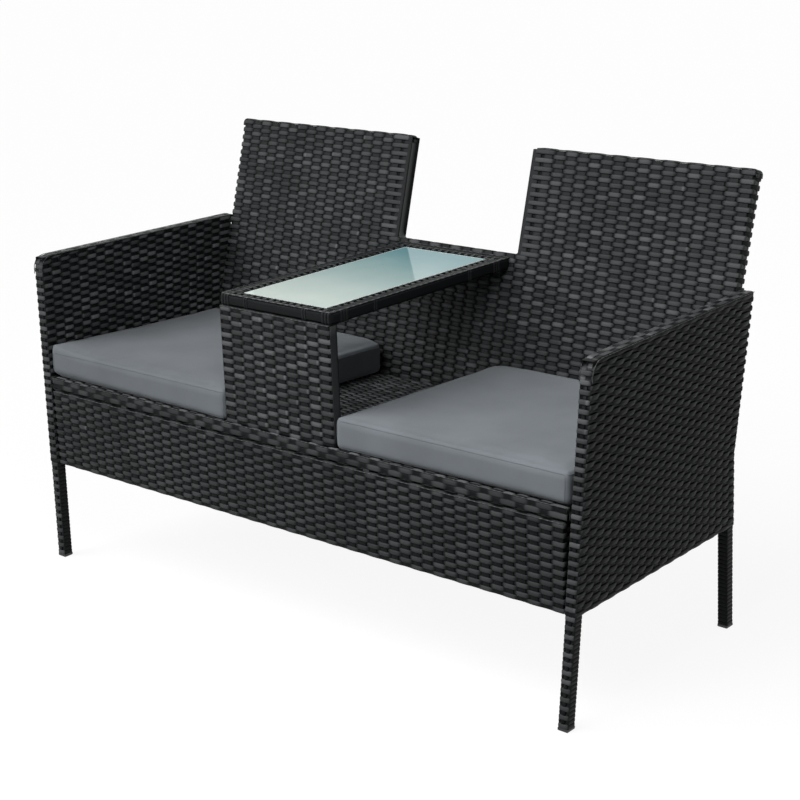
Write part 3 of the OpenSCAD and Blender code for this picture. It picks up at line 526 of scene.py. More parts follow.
def side_rows(weave, shares, mirror):
    """Rings round a side panel, from its skirt to the arm."""
    rows = even_rows(SKIRT_H + 0.3 * MM, ARM_H, SIDE_ROW)
    for r, z in enumerate(rows):
        ups = unit(side_ring(min(z + 2 * MM, ARM_H)) - side_ring(z - 2 * MM))
        path = ring_path(side_ring(z), ups, SPACING, CORNER_R)
        long = arm_back(z) - arm_front(z)
        ys = leg_front(z) - arm_front(z) + shares * (leg_back(z) - leg_front(z))
        ys = np.maximum(ys, 4 * MM)
        knots = np.concatenate([ys, [long + SIDE_T / 2], long + SIDE_T + long - ys[::-1],
                                [2 * long + 1.5 * SIDE_T]])
        # painted light and shade by face: front and inner faces lighter, outer face darker
        front = path.points[:, 1] < arm_front(z) + FRONT_DEPTH
        facing = path.normals[:, 0]
        shade = INNER_PAINTED_LIGHT * np.clip(-facing, 0, 1) - OUTER_PAINTED_SHADE * np.clip(facing, 0, 1)
        painted_lighting = FRONT_PAINTED_LIGHT * front + shade
        weft(weave, path, ring_phase(path, knots) + r, SIDE_ROW, mirror=mirror, painted_lighting=painted_lighting, glint_share=0.15,
             straight=is_outer(r, rows))


def side_warps(weave, shares, mirror):
    """Upright strands on both faces of a side panel."""
    for share in shares:
        ring = []
        for depth, bends in ((0, SIDE_BENDS), (SIDE_T, SIDE_BENDS[::-1])):
            for z in bends:
                y = leg_front(z) + share * (leg_back(z) - leg_front(z))
                ring.append((side_x(y, z) - depth, y, z))
        path = ring_path(ring, (0, -1, 0), 0.2, 1.5 * MM)
        warp(weave, path, mirror=mirror, half=WARP_SHARE * SIDE_PITCH)


def arm_row(weave, depth, j, mirror):
    """A row along the arm's top that turns down over its front corner and its rear end."""
    points = [(ARM_H - ARM_ROW_REAR, arm_back(ARM_H)), (ARM_H, arm_back(ARM_H))]
    low = leg_front(CORNER_Z)
    for a in map(math.radians, (90, 65, 40, 15, 0)):
        points.append((CORNER_Z + ARM_ROUND * math.sin(a), low + ARM_ROUND - ARM_ROUND * math.cos(a)))
    end = CORNER_Z - ARM_ROW_TURN
    points.append((end, leg_front(end)))
    line = [(side_x(y, z) - depth, y, z) for z, y in points]
    path = ring_path(line, (1, 0, 0), SPACING, 2 * MM, False)
    y, z = path.points[:, 1], path.points[:, 2]
    phase = (leg_back(ARM_H) - y) / SIDE_PITCH + j + 0.4
    phase = phase + np.where(z < ARM_H - MM, (ARM_H - z) / SIDE_PITCH, 0)
    share = np.clip((z - end) / (ARM_ROUND + ARM_ROW_TURN), 0, 1)
    # painted light and glints on the arm's top row
    weft(weave, path, phase, SIDE_T / 2 - MM, closed=False, mirror=mirror, wave=EDGE_WAVE,
         mid=(1.9 * share - 0.9) * MM, bias=EDGE_BIAS, painted_lighting=FRONT_PAINTED_LIGHT, glint_share=0.5)
    edge = -2 * MM if j == 0 else SIDE_T
    line = [(side_x(y, z) - edge, y - 0.4 * MM, z + 0.8 * MM) for z, y in points[1:]]
    edge_glints(weave, line, (1, 0, 0), mirror, step=SIDE_PITCH / 2)


def edge_strips(weave, mirror):
    """The warps on the front of the front leg and the back of the rear leg, down to the feet."""
    strips = ((leg_front, CORNER_Z, -1, WARP_HALF), (arm_back, ARM_H - REAR_STRIP_GAP, 1, REAR_STRIP_HALF))
    for edge, top, turn, half in strips:
        line = [(side_x(edge(z), z) - SIDE_T / 2, edge(z), z) for z in (CAP_H + MM, SKIRT_H, KNEE_H, top)]
        warp(weave, ring_path(line, (turn, 0, 0), 0.1, MM, False), False, mirror, half)


def build_side(mirror):
    """One side's weave, from the skirt's lower edge to the arm."""
    name = "left" if mirror else "right"
    weave = Weave(f"{name}_side_weave", "bench", f"{name}_side_skin")
    front, back = leg_front(SKIRT_H), leg_back(SKIRT_H)
    long = back - front
    shares = even_knots(long, SIDE_PITCH, SIDE_INSET) / long
    side_rows(weave, shares, mirror)
    side_warps(weave, shares, mirror)
    for j, place in enumerate(EDGE_PLACES):
        depth, inset = place * SIDE_T, SKIRT_ROW_INSET
        arm_row(weave, depth, j, mirror)
        a = (side_x(front, SKIRT_H) - depth, front + inset, SKIRT_H)
        b = (side_x(back, SKIRT_H) - depth, back - inset, SKIRT_H)
        edge_row(weave, a, b, (1, 0, 0), shares * long - inset, j, SIDE_T / 2 - MM, mirror,
                 mid=-0.7 * MM, wave=FLAT_WAVE)
    edge_strips(weave, mirror)
    weave.build(STRAND)


def build_leg_wraps(mirror):
    """Strands wound round the lower legs, over and under the strip on the outer edge."""
    name = "left" if mirror else "right"
    weave = Weave(f"{name}_leg_wraps_weave", "bench", f"{name}_leg_wraps")
    for front in (True, False):
        for r, z in enumerate(even_rows(CAP_H, SKIRT_H - 0.5 * MM, SIDE_ROW)):
            edge = leg_front(z) + LEG_IN if front else leg_back(z) - LEG_IN
            inner = edge + LEG_W if front else edge - LEG_W
            x = side_x(edge, z) - LEG_IN
            x0, x1 = (x - LEG_W, x) if front else (x, x - LEG_W)
            ring = [(x0, edge, z), (x1, edge, z), (x1, inner, z), (x0, inner, z)]
            path = ring_path(ring, UP, SPACING, 2 * MM)
            middle = np.abs(path.arc - LEG_W / 2)
            middle = np.minimum(middle, path.length - middle)
            phase = np.minimum(middle / LEG_STRIP, 1.0) * 0.5 + r
            # painted light on the front leg's front face
            painted_lighting = FRONT_PAINTED_LIGHT * (path.points[:, 1] < edge + FRONT_DEPTH) if front else 0.0
            weft(weave, path, phase, SIDE_ROW, mirror=mirror, wave=1.0 * MM, mid=-0.5 * MM, painted_lighting=painted_lighting)
    weave.build(STRAND)


# ---------------------------------------------------------------- seat, apron and table panel
SEAT_PITCH = 24 * MM
SEAT_ROW = 6.9 * MM
SEAT_INSET = 12 * MM
SEAT_TURN = 20 * MM
SEAT_EDGE_PLACES = (0.26, 0.70)
SEAT_EDGE_INSET = 22 * MM
SEAT_BACK = np.array((0, math.cos(SEAT_SLOPE), -math.sin(SEAT_SLOPE)))
SEAT_DOWN = np.array((0, -math.sin(SEAT_SLOPE), -math.cos(SEAT_SLOPE)))
APRON_PITCH, APRON_ROW, APRON_INSET = 24.7 * MM, 7.95 * MM, 10 * MM
PANEL_PITCH, PANEL_ROW, PANEL_INSET = 26.7 * MM, 8.2 * MM, 13.8 * MM
APRON_LEG_Y = -0.27


def seat_point(x, v, w):
    """A point of the seat: v back from its front edge, w below its top."""
    c, s = math.cos(SEAT_SLOPE), math.sin(SEAT_SLOPE)
    return (x, SEAT_Y + v * c - w * s, SEAT_H - v * s - w * c)


def seat_edges(weave, columns, length, front_half, rear_half):
    """Rows along the seat's front and rear edges: on the edge, on its inner face and below it."""
    t, inset = SIDE_T, SEAT_EDGE_INSET
    for v, half, away in ((0, front_half, -1), (length, rear_half, 1)):
        for j, w in enumerate(share * t for share in SEAT_EDGE_PLACES):
            faces = ((v, w, away * SEAT_DOWN, 0), (v - away * t, w, -away * SEAT_DOWN, inset),
                     (v - away * w, t, -SEAT_BACK, 0))
            for place, depth, side, short in faces:
                a, b = (seat_point(x, place, depth) for x in (short - half, half - short))
                edge_row(weave, a, b, side, half + columns - short, j, t / 2 - 1.8 * MM)


def build_seat():
    """The seat's weave: rows across it, turned under at both sides, and warps from front to rear."""
    weave = Weave("seat_weave", "bench", "seat_skin")
    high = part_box("seat_skin")[1]
    front_half, rear_half, t = high.x, BACK_HALF, SIDE_T
    length = (high.y - SEAT_Y) / math.cos(SEAT_SLOPE)
    columns = even_knots(2 * rear_half, SEAT_PITCH, SEAT_INSET) - rear_half
    for r, v in enumerate(even_rows(MM, length - MM, SEAT_ROW)):
        h = front_half + (rear_half - front_half) * v / length
        section = ((SEAT_TURN - h, t), (-h, t), (-h, 0), (h, 0), (h, t), (h - SEAT_TURN, t))
        path = ring_path([seat_point(x, v, w) for x, w in section], SEAT_BACK, SPACING, CORNER_R, False)
        knots = np.concatenate([[SEAT_TURN / 2], SEAT_TURN + t + h + columns, [path.length - SEAT_TURN / 2]])
        phase = np.interp(path.arc, knots, np.arange(len(knots))) + r
        # painted light on the seat's rows, and painted glints on a share of crests
        weft(weave, path, phase, 1.1 * SEAT_ROW, closed=False, painted_lighting=0.85, glint_share=0.2)
    section = ((t, 3 * MM), (t, t), (0, t), (0, 0),
               (length, 0), (length, t), (length - t, t), (length - t, 3 * MM))
    for x in columns:
        path = ring_path([seat_point(x, v, w) for v, w in section], (-1, 0, 0), 0.25, CORNER_R, False)
        # less painted shade on the seat's warps
        warp(weave, path, False, half=WARP_SHARE * SEAT_PITCH, rise=0.4)
    # painted shade: a near-black layer of flat strands under the seat's weave, so that only shade shows
    # through its gaps
    for x in even_rows(3 * MM - rear_half, rear_half - 3 * MM, SEAT_PITCH):
        line = [seat_point(x, v, 3.6 * MM) for v in (t + 2 * MM, length - t - 2 * MM)]
        warp(weave, ring_path(line, (-1, 0, 0), 0.25, 0, False), False, half=0.495 * SEAT_PITCH, mid=0)
    seat_edges(weave, columns, length, front_half, rear_half)
    line = [seat_point(x, -0.3 * MM, -0.2 * MM) for x in (MM - front_half, front_half - MM)]
    edge_glints(weave, line, EDGE_TILT)
    weave.build(STRAND)


def add_flat_strip(weave, xs, y, levels, normal, side, lift, half, rise, tone):
    """The same upright flat strand at the right and at the left."""
    points = np.column_stack(np.broadcast_arrays(xs, y, levels))
    normals, sides = (np.broadcast_to(np.array(d, float), points.shape) for d in (normal, side))
    for mirror in (False, True):
        weave.strand(Path(points, normals, sides, levels), lift, half, rise, tone, mirror=mirror)


def build_apron():
    """The front apron, with a strip behind each of its ends, up to the leg beside it, painted near black as
    shade.
    """
    weave = Weave("apron_weave", "bench", "apron_skin")
    low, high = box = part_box("apron_skin")
    box_panel(weave, box, APRON_PITCH, APRON_ROW, APRON_INSET)
    # painted shade: rise 0 paints these strips near black, filling the shaded gap between the apron's ends
    # and the legs
    levels = np.linspace(low.z + 2 * MM, high.z + 2 * MM, 8)
    leg = side_x(APRON_LEG_Y, levels) - SIDE_T - 0.8 * MM
    start = high.x - 3 * MM
    add_flat_strip(weave, (leg + start) / 2, high.y - 3 * MM, levels, (0, -1, 0), (-1, 0, 0), 0.0,
                   (leg - start) / 2, 0.0, 0.2)
    weave.build(STRAND)


def build_table_panel():
    """The table's front panel, with a wide flat strand up each of its narrow sides."""
    weave = Weave("table_panel_weave", "bench", "table_panel_skin")
    low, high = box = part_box("table_panel_skin")
    # painted light on the table panel, and painted glints on a share of crests
    box_panel(weave, box, PANEL_PITCH, PANEL_ROW, PANEL_INSET, warp_rise=0.3, glint_share=0.4, painted_lighting=0.4)
    levels = np.linspace(low.z + MM, high.z - MM, 12)
    # painted shade: rise 0.6 darkens this strand to a mid grey
    add_flat_strip(weave, high.x, (low.y + high.y) / 2, levels, (1, 0, 0), (0, -1, 0), 1.3 * MM,
                   (high.y - low.y) / 2 - 0.6 * MM, 0.6, 0.8)
    weave.build(STRAND)


# ---------------------------------------------------------------- table rim and glass
RIM_ROW = 8.2 * MM
RIM_ROUND = 5.0 * MM
RIM_HALF = 4.0 * MM
RIM_LAP = 32 * MM
RIM_STRIP = 8.5 * MM
RIM_STRIP_HALF = 3.4 * MM
RIM_DIP = 9 * MM
RIM_TURNS = ((4 * MM, 3.3 * MM), (11 * MM, 3.3 * MM), (18 * MM, 3.3 * MM))
FAR_TURN_HALF = 2.4 * MM
FAR_TURN_STEP = 5.5 * MM
BAND_ROUND = 8 * MM
OVER_FULL = 1.3 * MM
GLASS_OPENING = ((-0.102, -0.257), (0.102, 0.195))


def rim_ring(corner, outward, width, height):
    """One turn round a bar of the rim, from its inner top edge."""
    corner, outward, down = Vector(corner), Vector(outward), Vector((0, 0, -height))
    ring = [corner, corner + outward * width, corner + outward * width + down, corner + down]
    return ring_path([tuple(p) for p in ring], tuple(Vector(UP).cross(outward)), FINE_SPACING, RIM_ROUND)


def wind_bar(weave, corner, along, width, height, top, start, end):
    """Turns over and under the strip near the glass, and a few plain turns over them at both ends."""
    outward = (along[1], -along[0], 0)

    def place(s, out=0.0):
        return (corner[0] + along[0] * s + outward[0] * out, corner[1] + along[1] * s + outward[1] * out, top)

    for row, s in enumerate(even_rows(start, end, RIM_ROW)):
        path = rim_ring(place(s), outward, width, height)
        strip = np.abs(path.arc - RIM_STRIP)
        strip = np.minimum(strip, path.length - strip)
        phase = np.minimum(strip / RIM_DIP, 1.0) * 0.5 + row
        # painted light on the rim's turns
        weft(weave, path, phase, 2 * RIM_HALF, wave=0.9 * MM, mid=-0.5 * MM, painted_lighting=0.25)
    line = [place(s, RIM_STRIP) for s in (start + MM, end - MM)]
    warp(weave, ring_path(line, outward, 0.02, 0, False), False, half=RIM_STRIP_HALF, mid=-0.5 * MM)
    far = 60 * MM if along[0] else 90 * MM
    for s, half in RIM_TURNS + ((far, FAR_TURN_HALF), (far + FAR_TURN_STEP, FAR_TURN_HALF)):
        for at in (start + s, end - s):
            path = rim_ring(place(at), outward, width + OVER_FULL, height)
            # painted shade: rise 0.40 darkens these plain turns
            weave.strand(path, 0.2 * MM, half, 0.40, rng.uniform(0, 0.6), closed=True)


def build_rim():
    """Turns of strand round the four bars, and round the outside a flat band and an edge strand with painted
    highlights in dashes.
    """
    weave = Weave("table_rim_weave", "bench", "table_rim")
    low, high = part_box("table_rim")
    (x0, y0), (x1, y1) = GLASS_OPENING
    bars = (((x0, y0), (1, 0), y0 - low.y), ((x1, y0), (0, 1), high.x - x1),
            ((x1, y1), (-1, 0), high.y - y1), ((x0, y1), (0, -1), high.x - x1))
    for corner, along, width in bars:
        start, end = (-RIM_LAP, x1 - x0 + RIM_LAP) if along[0] else (0, y1 - y0)
        wind_bar(weave, corner, along, width, high.z - low.z, high.z, start, end)
    corners = rectangle(low.x, low.y, high.x, high.y)
    middle, top = (low.z + high.z) / 2 - 0.3 * MM, high.z - 0.3 * MM
    band = ring_path([(x, y, middle) for x, y in corners], UP, 0.02, BAND_ROUND)
    # painted shade: rise 0.26 keeps the band dark
    weave.strand(band, 0.6 * MM, 9.6 * MM, 0.26, 0.0, thick=1.0 * MM, closed=True)
    # painted highlight: light dashes along the rim's outer top edge, from tone above 1
    edge = ring_path([(x, y, top) for x, y in corners], UP, FINE_SPACING, BAND_ROUND)
    tone = 0.5 + 0.9 * (np.cos(2 * np.pi * edge.arc / (2 * RIM_ROW)) > -0.2)
    weave.strand(edge, -0.6 * MM, 1.2 * MM, 1.0, tone, thick=2.6 * MM, closed=True)
    weave.build(STRAND)


def build_glass_edge():
    """The glass's ground edge, a narrow pale frame round its top."""
    weave = Weave("glass_edge", "glass_top")
    low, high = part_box("table_glass")
    outline = [(x, y, high.z) for x, y in rectangle(low.x, low.y, high.x, high.y)]
    path = ring_path(outline, UP, 0.05, 2 * MM)
    lying = Path(path.points - path.normals * 0.9 * MM, path.sides, -path.normals, path.arc)
    weave.strand(lying, 0.0, 0.8 * MM, 1, 0.5, thick=0.5 * MM, closed=True)
    weave.build(GLASS_EDGE)


# ---------------------------------------------------------------- cushions
CUSHION_LIFT = 1.5 * MM
CUSHION_TOP = 56 * MM
CUSHION_CELL = 6.5 * MM
INNER_GAP = 1.0 * MM
OUTER_FULL = 5 * MM
FRONT_GAP = 0.5 * MM
REAR_GAP = 7.5 * MM

# how the cloth is let out, and how far it may go past the sewn box on each side
SWELL_FRAMES = 20
SWELL_CAP = 7 * MM
INNER_SWELL = 1.6 * MM
OUTER_SWELL = 2 * MM
FRONT_SWELL = 4 * MM
REAR_SWELL = 1.2 * MM

# how the filled cover lies on the seat
REAR_LEAN = 11 * MM
REAR_LIFT = 8 * MM
CORNER_FADE = 60 * MM
FRONT_SPREAD = 7 * MM
FRONT_EDGE = 16 * MM
FRONT_CURL = {"right": 6 * MM, "left": 13 * MM}
CORNER_RISE = {"right": 0.0, "left": 12 * MM}

SEAM_HALF = 0.8 * MM
SEAM_T = 1.3 * MM
SEAM_LIFT = 0.15 * MM
SEAM_LEVELS = (53.6 * MM, 4 * MM)
SEAM_ROUND = 6 * MM
SEAM_STEP = 9 * MM
CASTING_GAP = 20 * MM
CORNER_SEAM_FROM = 8 * MM


def seat_frame():
    """The seat's place and slope, with its origin on the front edge of its top."""
    return Matrix.Translation((0, SEAT_Y, SEAT_H)) @ Matrix.Rotation(-SEAT_SLOPE, 4, "X")


def sewn_block(name, low, high, cell, place):
    """A box cushion before it is filled: a cube cut into even cells, its edges where the seams are."""
    bpy.ops.object.select_all(action="DESELECT")
    bpy.ops.mesh.primitive_cube_add(size=1)
    obj = bpy.context.object
    obj.name = name
    size = [high[i] - low[i] for i in range(3)]
    obj.data.transform(Matrix.Diagonal((*size, 1)))
    obj.data.transform(Matrix.Translation([(high[i] + low[i]) / 2 for i in range(3)]))
    made = bmesh.new()
    made.from_mesh(obj.data)
    for axis in range(3):
        along = [e for e in made.edges if abs((e.verts[1].co - e.verts[0].co).normalized()[axis]) > 0.9]
        bmesh.ops.subdivide_edges(made, edges=along, cuts=round(size[axis] / cell) - 1)
    made.to_mesh(obj.data)
    made.free()
    obj.data.transform(place)
    return obj


def vertex_values(mesh, name):
    """The places or normals of a mesh's vertices, one row each."""
    values = np.empty(len(mesh.vertices) * 3)
    mesh.vertices.foreach_get(name, values)
    return values.reshape(-1, 3)


def swell(obj, cap):
    """Lets the cloth cover fill out from inside, no point by more than the cap."""
    start = vertex_values(obj.data, "co")
    cloth = obj.modifiers.new("cloth", "CLOTH")
    settings = cloth.settings
    settings.quality = 5
    settings.use_pressure = True
    settings.uniform_pressure_force = 4
    settings.tension_stiffness = settings.compression_stiffness = 8
    settings.shear_stiffness = 5
    settings.bending_stiffness = 1
    settings.effector_weights.gravity = 0
    cloth.point_cache.frame_start, cloth.point_cache.frame_end = 1, SWELL_FRAMES
    for number in range(1, SWELL_FRAMES + 1):
        bpy.context.scene.frame_set(number)
    filled = obj.evaluated_get(bpy.context.evaluated_depsgraph_get())
    step = vertex_values(filled.to_mesh(), "co") - start
    filled.to_mesh_clear()
    obj.modifiers.remove(cloth)
    bpy.context.scene.frame_set(1)
    normals = vertex_values(obj.data, "normal")
    out = (step * normals).sum(1)
    step -= normals * np.minimum(out + 0.5 * MM, 0)[:, None]
    length = np.linalg.norm(step, axis=1)
    return start + step * (np.minimum(length, cap) / np.maximum(length, 1e-9))[:, None]


def lie(local, inner, outer, depth, side):
    """The filled cover as it lies: leaned on the backrest, spread to the arm, its front edge off the seat."""
    laid = local.copy()
    height = np.clip(laid[:, 2] / CUSHION_TOP, 0, 1)
    rear = np.clip(laid[:, 1] / depth, 0, 1)
    along = np.clip((laid[:, 0] - inner) / (outer - inner), 0, 1)
    across = np.clip(2 * along - 1, 0, 1)
    corner = 1 - (1 - np.clip((laid[:, 0] - inner) / CORNER_FADE, 0, 1)) ** 2
    front = np.clip(1 - laid[:, 1] / FRONT_EDGE, 0, 1)
    laid[:, 0] += FRONT_SPREAD * across * (1 - rear)
    laid[:, 1] += REAR_LEAN * corner * height ** 3 * np.clip(4 * rear - 3, 0, 1)
    laid[:, 2] += REAR_LIFT * corner * height * rear ** 2
    laid[:, 2] += FRONT_CURL[side] * (0.1 + 0.9 * along) * front * (1 - height) ** 2
    laid[:, 2] += CORNER_RISE[side] * across ** 4 * (1 - rear) * height
    return laid


def soften(obj):
    """Smooths the cover and halves its cells."""
    bpy.context.view_layer.objects.active = obj
    smooth = obj.modifiers.new("soft", "SMOOTH")
    smooth.factor, smooth.iterations = 0.35, 2
    finer = obj.modifiers.new("finer", "SUBSURF")
    finer.levels = finer.render_levels = 1
    for modifier in ("soft", "finer"):
        bpy.ops.object.modifier_apply(modifier=modifier)


def finish_cushion(obj, side):
    """Names the cover, gives it its cloth, and puts it in the CAD cover's place."""
    obj.name = obj.data.name = f"{side}_cushion_padding"
    obj.data.materials.clear()
    obj.data.materials.append(FABRIC)
    obj.data.polygons.foreach_set("use_smooth", [True] * len(obj.data.polygons))
    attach(obj, f"{side}_cushion")
    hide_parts(f"{side}_cushion_cover")


def cover_points(shape, centre, outline, level, place):
    """Points and normals where lines from an outline to the cushion's middle meet its cover."""
    points, normals = [], []
    for x, y in outline:
        start = place @ Vector((centre[0] + x, centre[1] + y, level))
        middle = place @ Vector((centre[0] + 0.6 * x, centre[1] + 0.6 * y, level))
        hit, normal = shape.ray_cast(start, (middle - start).normalized())[:2]
        if hit is not None:
            points.append(hit)
            normals.append(normal)
    return np.array(points), np.array(normals)


def round_outline(wide, deep):
    """A rounded rectangle some way outside the cushion, in short steps."""
    r = SEAM_ROUND
    outline = []
    corners = ((wide - r, r - deep), (wide - r, deep - r), (r - wide, deep - r), (r - wide, r - deep))
    for turn, (cx, cy) in enumerate(corners):
        for step in range(7):
            a = math.radians(-90 + 90 * turn + 15 * step)
            outline.append((cx + (r + CASTING_GAP) * math.cos(a), cy + (r + CASTING_GAP) * math.sin(a)))
    dense = []
    for (ax, ay), (bx, by) in zip(outline, outline[1:] + outline[:1]):
        steps = max(1, int(math.hypot(bx - ax, by - ay) / SEAM_STEP))
        dense += [(ax + (bx - ax) * k / steps, ay + (by - ay) * k / steps) for k in range(steps)]
    return dense


def build_seams(obj, side, place, low, high):
    """Sewn seams: one round the top, one round the bottom, and one up each corner."""
    weave = Weave(f"{side}_cushion_seams", f"{side}_cushion")
    shape = BVHTree.FromObject(obj, bpy.context.evaluated_depsgraph_get())
    centre = ((low[0] + high[0]) / 2, (low[1] + high[1]) / 2)
    wide, deep = (high[0] - low[0]) / 2, (high[1] - low[1]) / 2
    outline = round_outline(wide, deep)
    for level in SEAM_LEVELS:
        points, normals = cover_points(shape, centre, outline, level, place)
        run = np.roll(points, -1, 0) - np.roll(points, 1, 0)
        arc = np.concatenate([[0], np.cumsum(np.linalg.norm(np.diff(points, axis=0), axis=1))])
        path = Path(points, normals, unit(np.cross(normals, unit(run))), arc)
        weave.strand(path, SEAM_LIFT, SEAM_HALF, 1, 0.5, thick=SEAM_T, closed=True)
    up = np.array(place.to_3x3() @ Vector(UP))
    levels = np.linspace(CORNER_SEAM_FROM, SEAM_LEVELS[0] - MM, 10)
    for cx, cy in ((wide, -deep), (wide, deep), (-wide, deep), (-wide, -deep)):
        line = [cover_points(shape, centre, [(cx * 1.02, cy * 1.02)], level, place) for level in levels]
        line = [(p[0], n[0]) for p, n in line if len(p)]
        points, normals = np.array([p for p, n in line]), unit(np.array([n for p, n in line]))
        path = Path(points, normals, unit(np.cross(normals, up)), levels[:len(points)])
        weave.strand(path, SEAM_LIFT, SEAM_HALF, 1, 0.5, thick=SEAM_T)
    weave.build(SEAM)


def build_cushions():
    """One cushion is sewn and filled, and each side's cover is laid out from it."""
    place = seat_frame()
    low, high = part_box("right_cushion_cover")
    depth = (high.y - SEAT_Y) / math.cos(SEAT_SLOPE)
    inner, outer, rear = low.x + INNER_GAP, high.x + OUTER_FULL, depth - REAR_GAP
    near, far = (inner, FRONT_GAP, CUSHION_LIFT), (outer, rear, CUSHION_TOP)
    block = sewn_block("cushion", near, far, CUSHION_CELL, place)
    turned, inverse = np.array(place), np.array(place.inverted())
    local = swell(block, SWELL_CAP) @ inverse[:3, :3].T + inverse[:3, 3]
    local = np.clip(local, (inner - INNER_SWELL, -FRONT_SWELL, CUSHION_LIFT),
                    (outer + OUTER_SWELL, rear + REAR_SWELL, np.inf))
    for side in ("right", "left"):
        laid = lie(local, inner, outer, depth, side) @ turned[:3, :3].T + turned[:3, 3]
        obj = placed(side, block.data.copy())
        obj.data.vertices.foreach_set("co", laid.ravel())
        x0, x1 = inner, outer
        if side == "left":
            obj.data.transform(Matrix.Diagonal((-1, 1, 1, 1)))
            obj.data.flip_normals()
            x0, x1 = -outer, -inner
        soften(obj)
        finish_cushion(obj, side)
        build_seams(obj, side, place, (x0, 0), (x1, rear))
    bpy.data.objects.remove(block)


# ---------------------------------------------------------------- materials
def fill(tree, node, inputs):
    """Sets a node's inputs to plain values, or links them to other nodes' outputs."""
    for key, value in inputs.items():
        target = node.inputs[key]
        if isinstance(value, bpy.types.NodeSocket):
            tree.links.new(value, target)
        else:
            target.default_value = (*value, 1) if target.type == "RGBA" else value


def add_node(tree, kind, inputs=None, **settings):
    """A shader node with its settings and inputs."""
    node = tree.nodes.new("ShaderNode" + kind)
    for name, value in settings.items():
        setattr(node, name, value)
    fill(tree, node, inputs or {})
    return node


def speckle_group():
    """Noise on a position, as a value between Low and High."""
    group = bpy.data.node_groups.new("speckle", "ShaderNodeTree")
    new_socket = group.interface.new_socket
    new_socket(name="Vector", in_out="INPUT", socket_type="NodeSocketVector")
    for name, default in (("Scale", 40.0), ("Detail", 3.0), ("Low", 0.0), ("High", 1.0)):
        new_socket(name=name, in_out="INPUT", socket_type="NodeSocketFloat").default_value = default
    new_socket(name="Value", in_out="OUTPUT", socket_type="NodeSocketFloat")
    given = group.nodes.new("NodeGroupInput").outputs
    noise = add_node(group, "TexNoise", {name: given[name] for name in ("Vector", "Scale", "Detail")})
    span = add_node(group, "MapRange", {"Value": noise.outputs["Fac"], "From Min": 0.3, "From Max": 0.7,
                                        "To Min": given["Low"], "To Max": given["High"]})
    group.links.new(span.outputs["Result"], group.nodes.new("NodeGroupOutput").inputs["Value"])
    return group


SPECKLE = speckle_group()


def material(name):
    """A new material, its nodes and its shader."""
    m = bpy.data.materials.new(name)
    m.use_nodes = True
    m.node_tree.nodes.clear()
    shader = add_node(m.node_tree, "BsdfPrincipled")
    add_node(m.node_tree, "OutputMaterial", {"Surface": shader.outputs["BSDF"]})
    return m, m.node_tree, shader


def speckle(tree, vector, scale, low, high, detail=3.0):
    """The speckle group in one material, with its own values."""
    inputs = {"Vector": vector, "Scale": scale, "Detail": detail, "Low": low, "High": high}
    return add_node(tree, "Group", inputs, node_tree=SPECKLE).outputs["Value"]


def stretched(tree, vector, scale):
    return add_node(tree, "Mapping", {"Vector": vector, "Scale": scale}).outputs["Vector"]


def ranged(tree, value, low, high, top=1.0, **settings):
    """0 at low, and top at high."""
    inputs = {"Value": value, "From Min": low, "From Max": high, "To Max": top}
    return add_node(tree, "MapRange", inputs, **settings).outputs["Result"]


def mixed(tree, factor, a, b):
    """From colour a to colour b."""
    return add_node(tree, "Mix", {0: factor, 6: a, 7: b}, data_type="RGBA").outputs[2]


def computed(tree, operation, a, b):
    return add_node(tree, "Math", {0: a, 1: b}, operation=operation).outputs[0]


def bumped(tree, shader, height, strength, distance):
    bump = add_node(tree, "Bump", {"Height": height, "Strength": strength, "Distance": distance})
    fill(tree, shader, {"Normal": bump.outputs["Normal"]})


def attribute(tree, name):
    return add_node(tree, "Attribute", attribute_name=name).outputs["Fac"]


def object_place(tree):
    return add_node(tree, "TexCoord").outputs["Object"]


def tinted(colour, factor):
    return tuple(min(1, c * factor) for c in colour)


# painted shade: the near-black colour of the dips and warps, where the rows beside them shade them
PAINTED_DIP_SHADE = (0.0075, 0.0082, 0.0088)
STRAND_DARK = (0.020, 0.0212, 0.0218)
STRAND_LIGHT = (0.065, 0.0675, 0.0692)
# painted highlight colour of the glints
PAINTED_GLINT_GREY = (0.150, 0.156, 0.160)
# painted shade along each strand's side edges, where it meets the next row
PAINTED_EDGE_SHADE = (0.010, 0.011, 0.0115)
GLASS_FRONT = (0.71, 0.80, 0.745)
# painted shade at the back of the glass
GLASS_BACK_PAINTED_SHADE = (0.19, 0.38, 0.41)


